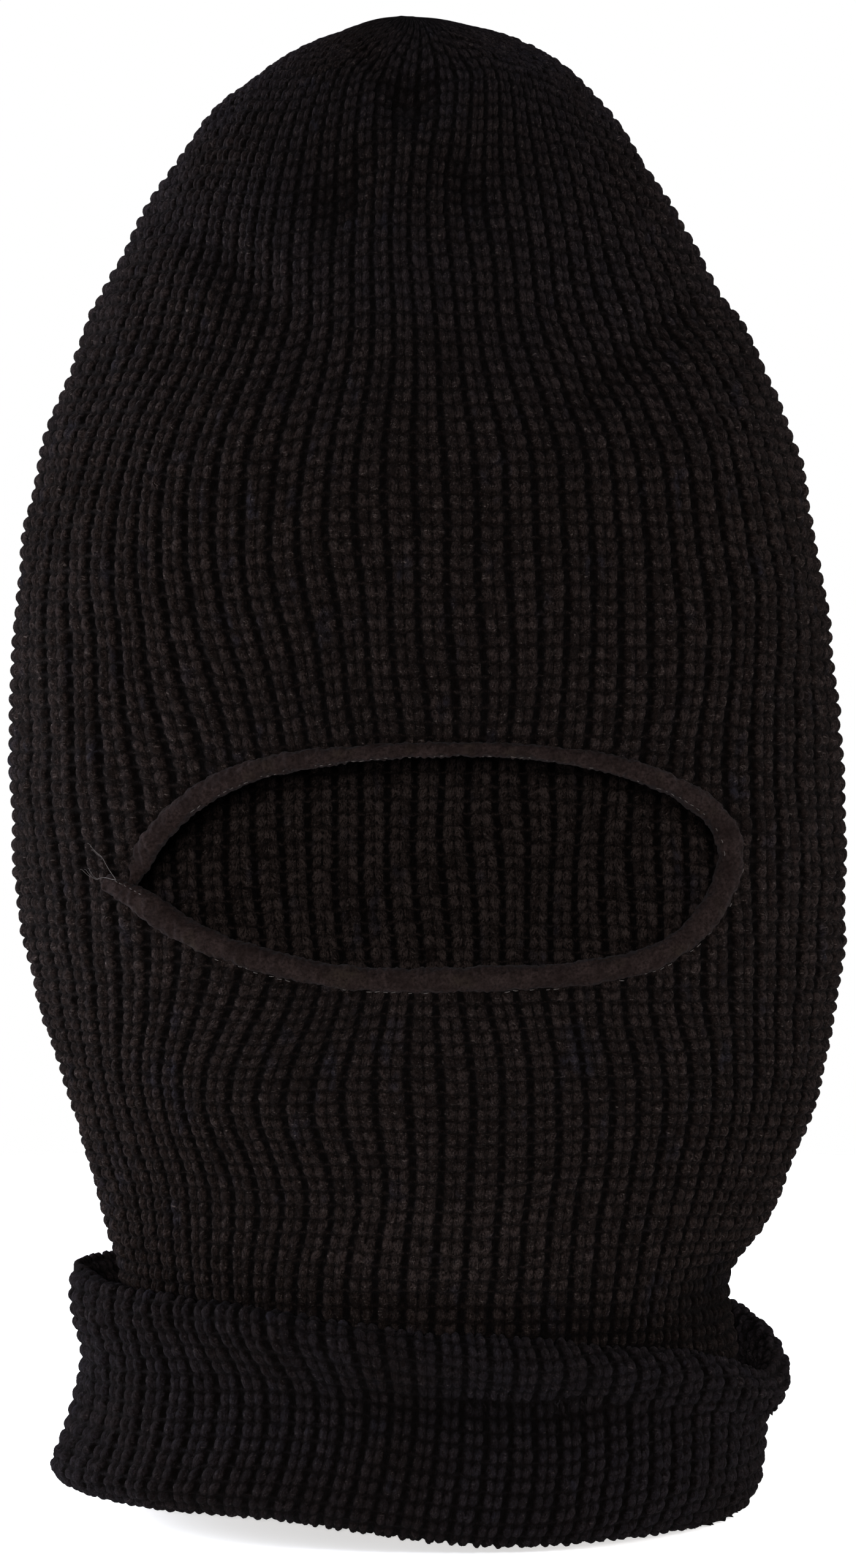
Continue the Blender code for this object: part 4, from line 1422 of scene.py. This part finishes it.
# ---- stage, light and camera ----
def make_stage():
    bpy.ops.mesh.primitive_circle_add(vertices=96, radius=FLOOR_RADIUS, fill_type="NGON")
    floor = bpy.context.object
    floor.name = "floor"
    material = bpy.data.materials.new("pale_floor")
    material.use_nodes = True
    shader = material.node_tree.nodes["Principled BSDF"]
    shader.inputs["Base Color"].default_value = (0.92, 0.92, 0.92, 1.0)
    shader.inputs["Roughness"].default_value = 0.9
    shader.inputs["Emission Color"].default_value = (1.0, 1.0, 1.0, 1.0)
    shader.inputs["Emission Strength"].default_value = FLOOR_GLOW
    floor.data.materials.append(material)


def make_world():
    """A room that looks white and lights the object softly."""
    world = bpy.data.worlds.new("soft_white_studio")
    world.use_nodes = True
    tree = world.node_tree
    background = tree.nodes["Background"]
    background.inputs["Color"].default_value = (1.0, 1.0, 1.0, 1.0)
    path = tree.nodes.new("ShaderNodeLightPath")
    level = tree.nodes.new("ShaderNodeMapRange")
    level.inputs["To Min"].default_value = AMBIENT
    level.inputs["To Max"].default_value = 1.0
    tree.links.new(path.outputs["Is Camera Ray"], level.inputs["Value"])
    tree.links.new(level.outputs["Result"], background.inputs["Strength"])
    bpy.context.scene.world = world
    bpy.context.scene.view_settings.view_transform = "Standard"


def make_lights():
    for name, place, size, power, colour in LIGHTS:
        data = bpy.data.lights.new(name, "AREA")
        data.shape = "DISK"
        data.size = size
        data.energy = power
        data.color = colour
        light = bpy.data.objects.new(name, data)
        bpy.context.scene.collection.objects.link(light)
        light.location = place
        heading = Vector(LIGHT_TARGET) - Vector(place)
        light.rotation_euler = heading.to_track_quat("-Z", "Y").to_euler()


def make_camera():
    data = bpy.data.cameras.new("camera")
    data.lens = CAMERA_LENS
    data.sensor_width = 36.0
    data.clip_end = 50.0
    camera = bpy.data.objects.new("camera", data)
    bpy.context.scene.collection.objects.link(camera)
    target = Vector(CAMERA_TARGET)
    away = Vector((0.0, -math.cos(CAMERA_ELEVATION), math.sin(CAMERA_ELEVATION)))
    camera.location = target + away * CAMERA_DISTANCE
    camera.rotation_euler = (-away).to_track_quat("-Z", "Y").to_euler()
    bpy.context.scene.camera = camera


# ---- assembly ----
def finish_piece(piece, material, body, slot, *nodes):
    """Gives a piece its material and body, and hides the CAD nodes that it stands for; the slot is not
    used.
    """
    piece.data.materials.clear()
    piece.data.materials.append(material)
    if body is not None:
        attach(piece, body)
    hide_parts(*nodes)
    return piece


make_camera()
make_world()
make_lights()
make_stage()

rib_knit = knit_material("black_rib_knit", strength=1.0, coolness=0.0)
# The cuff's knit: the same yarn, darker all over with painted shade.
shaded_cuff_knit = knit_material("black_rib_knit_shaded_cuff", CUFF_PAINTED_SHADE_TONE, COOL_CUFF)
tape_felt = tape_material()
sewing_thread = thread_material("sewing_thread", THREAD_DARK, THREAD_GREY)
loose_thread = thread_material("loose_thread", THREAD_DARK, THREAD_PALE)
edge_yarn = thread_material("edge_yarn", YARN_GROOVE_SHADE, YARN_LIGHT)

hood, hood_smooth = make_hood()
face_tree = face_surface(hood_smooth)
finish_piece(hood, rib_knit, None, "rib_knit", "knit_hood")
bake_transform(hood)
cuff = finish_piece(make_cuff(), shaded_cuff_knit, "cuff", "rib_knit", "neck_cuff")

tape = finish_piece(make_tape(face_tree), tape_felt, "hood", "binding_tape", "face_binding")
needle = make_stitches("binding_needle_stitches", face_tree, NEEDLE_HEIGHT, NEEDLE_SEED, spread=1.0)
bobbin = make_stitches("binding_bobbin_stitches", face_tree, BOBBIN_HEIGHT, BOBBIN_SEED, UNDERSIDE_SPREAD)
tack = make_tack(face_tree)
for piece, node in ((needle, "needle_thread"), (bobbin, "bobbin_thread"), (tack, "corner_tack")):
    finish_piece(piece, sewing_thread, "hood", "sewing_thread", f"binding_{node}")
for side, seed in TAIL_SEEDS:
    node = f"binding_thread_tail_{side}"
    tail = make_thread_tail(f"loose_thread_{side}", node, seed)
    finish_piece(tail, loose_thread, "hood", "loose_thread", node)
gather = finish_piece(make_gather(), edge_yarn, "hood", "rib_knit", "crown_gather_yarn")
chain = finish_piece(make_bindoff(), edge_yarn, "cuff", "rib_knit", "cuff_bindoff_edge")
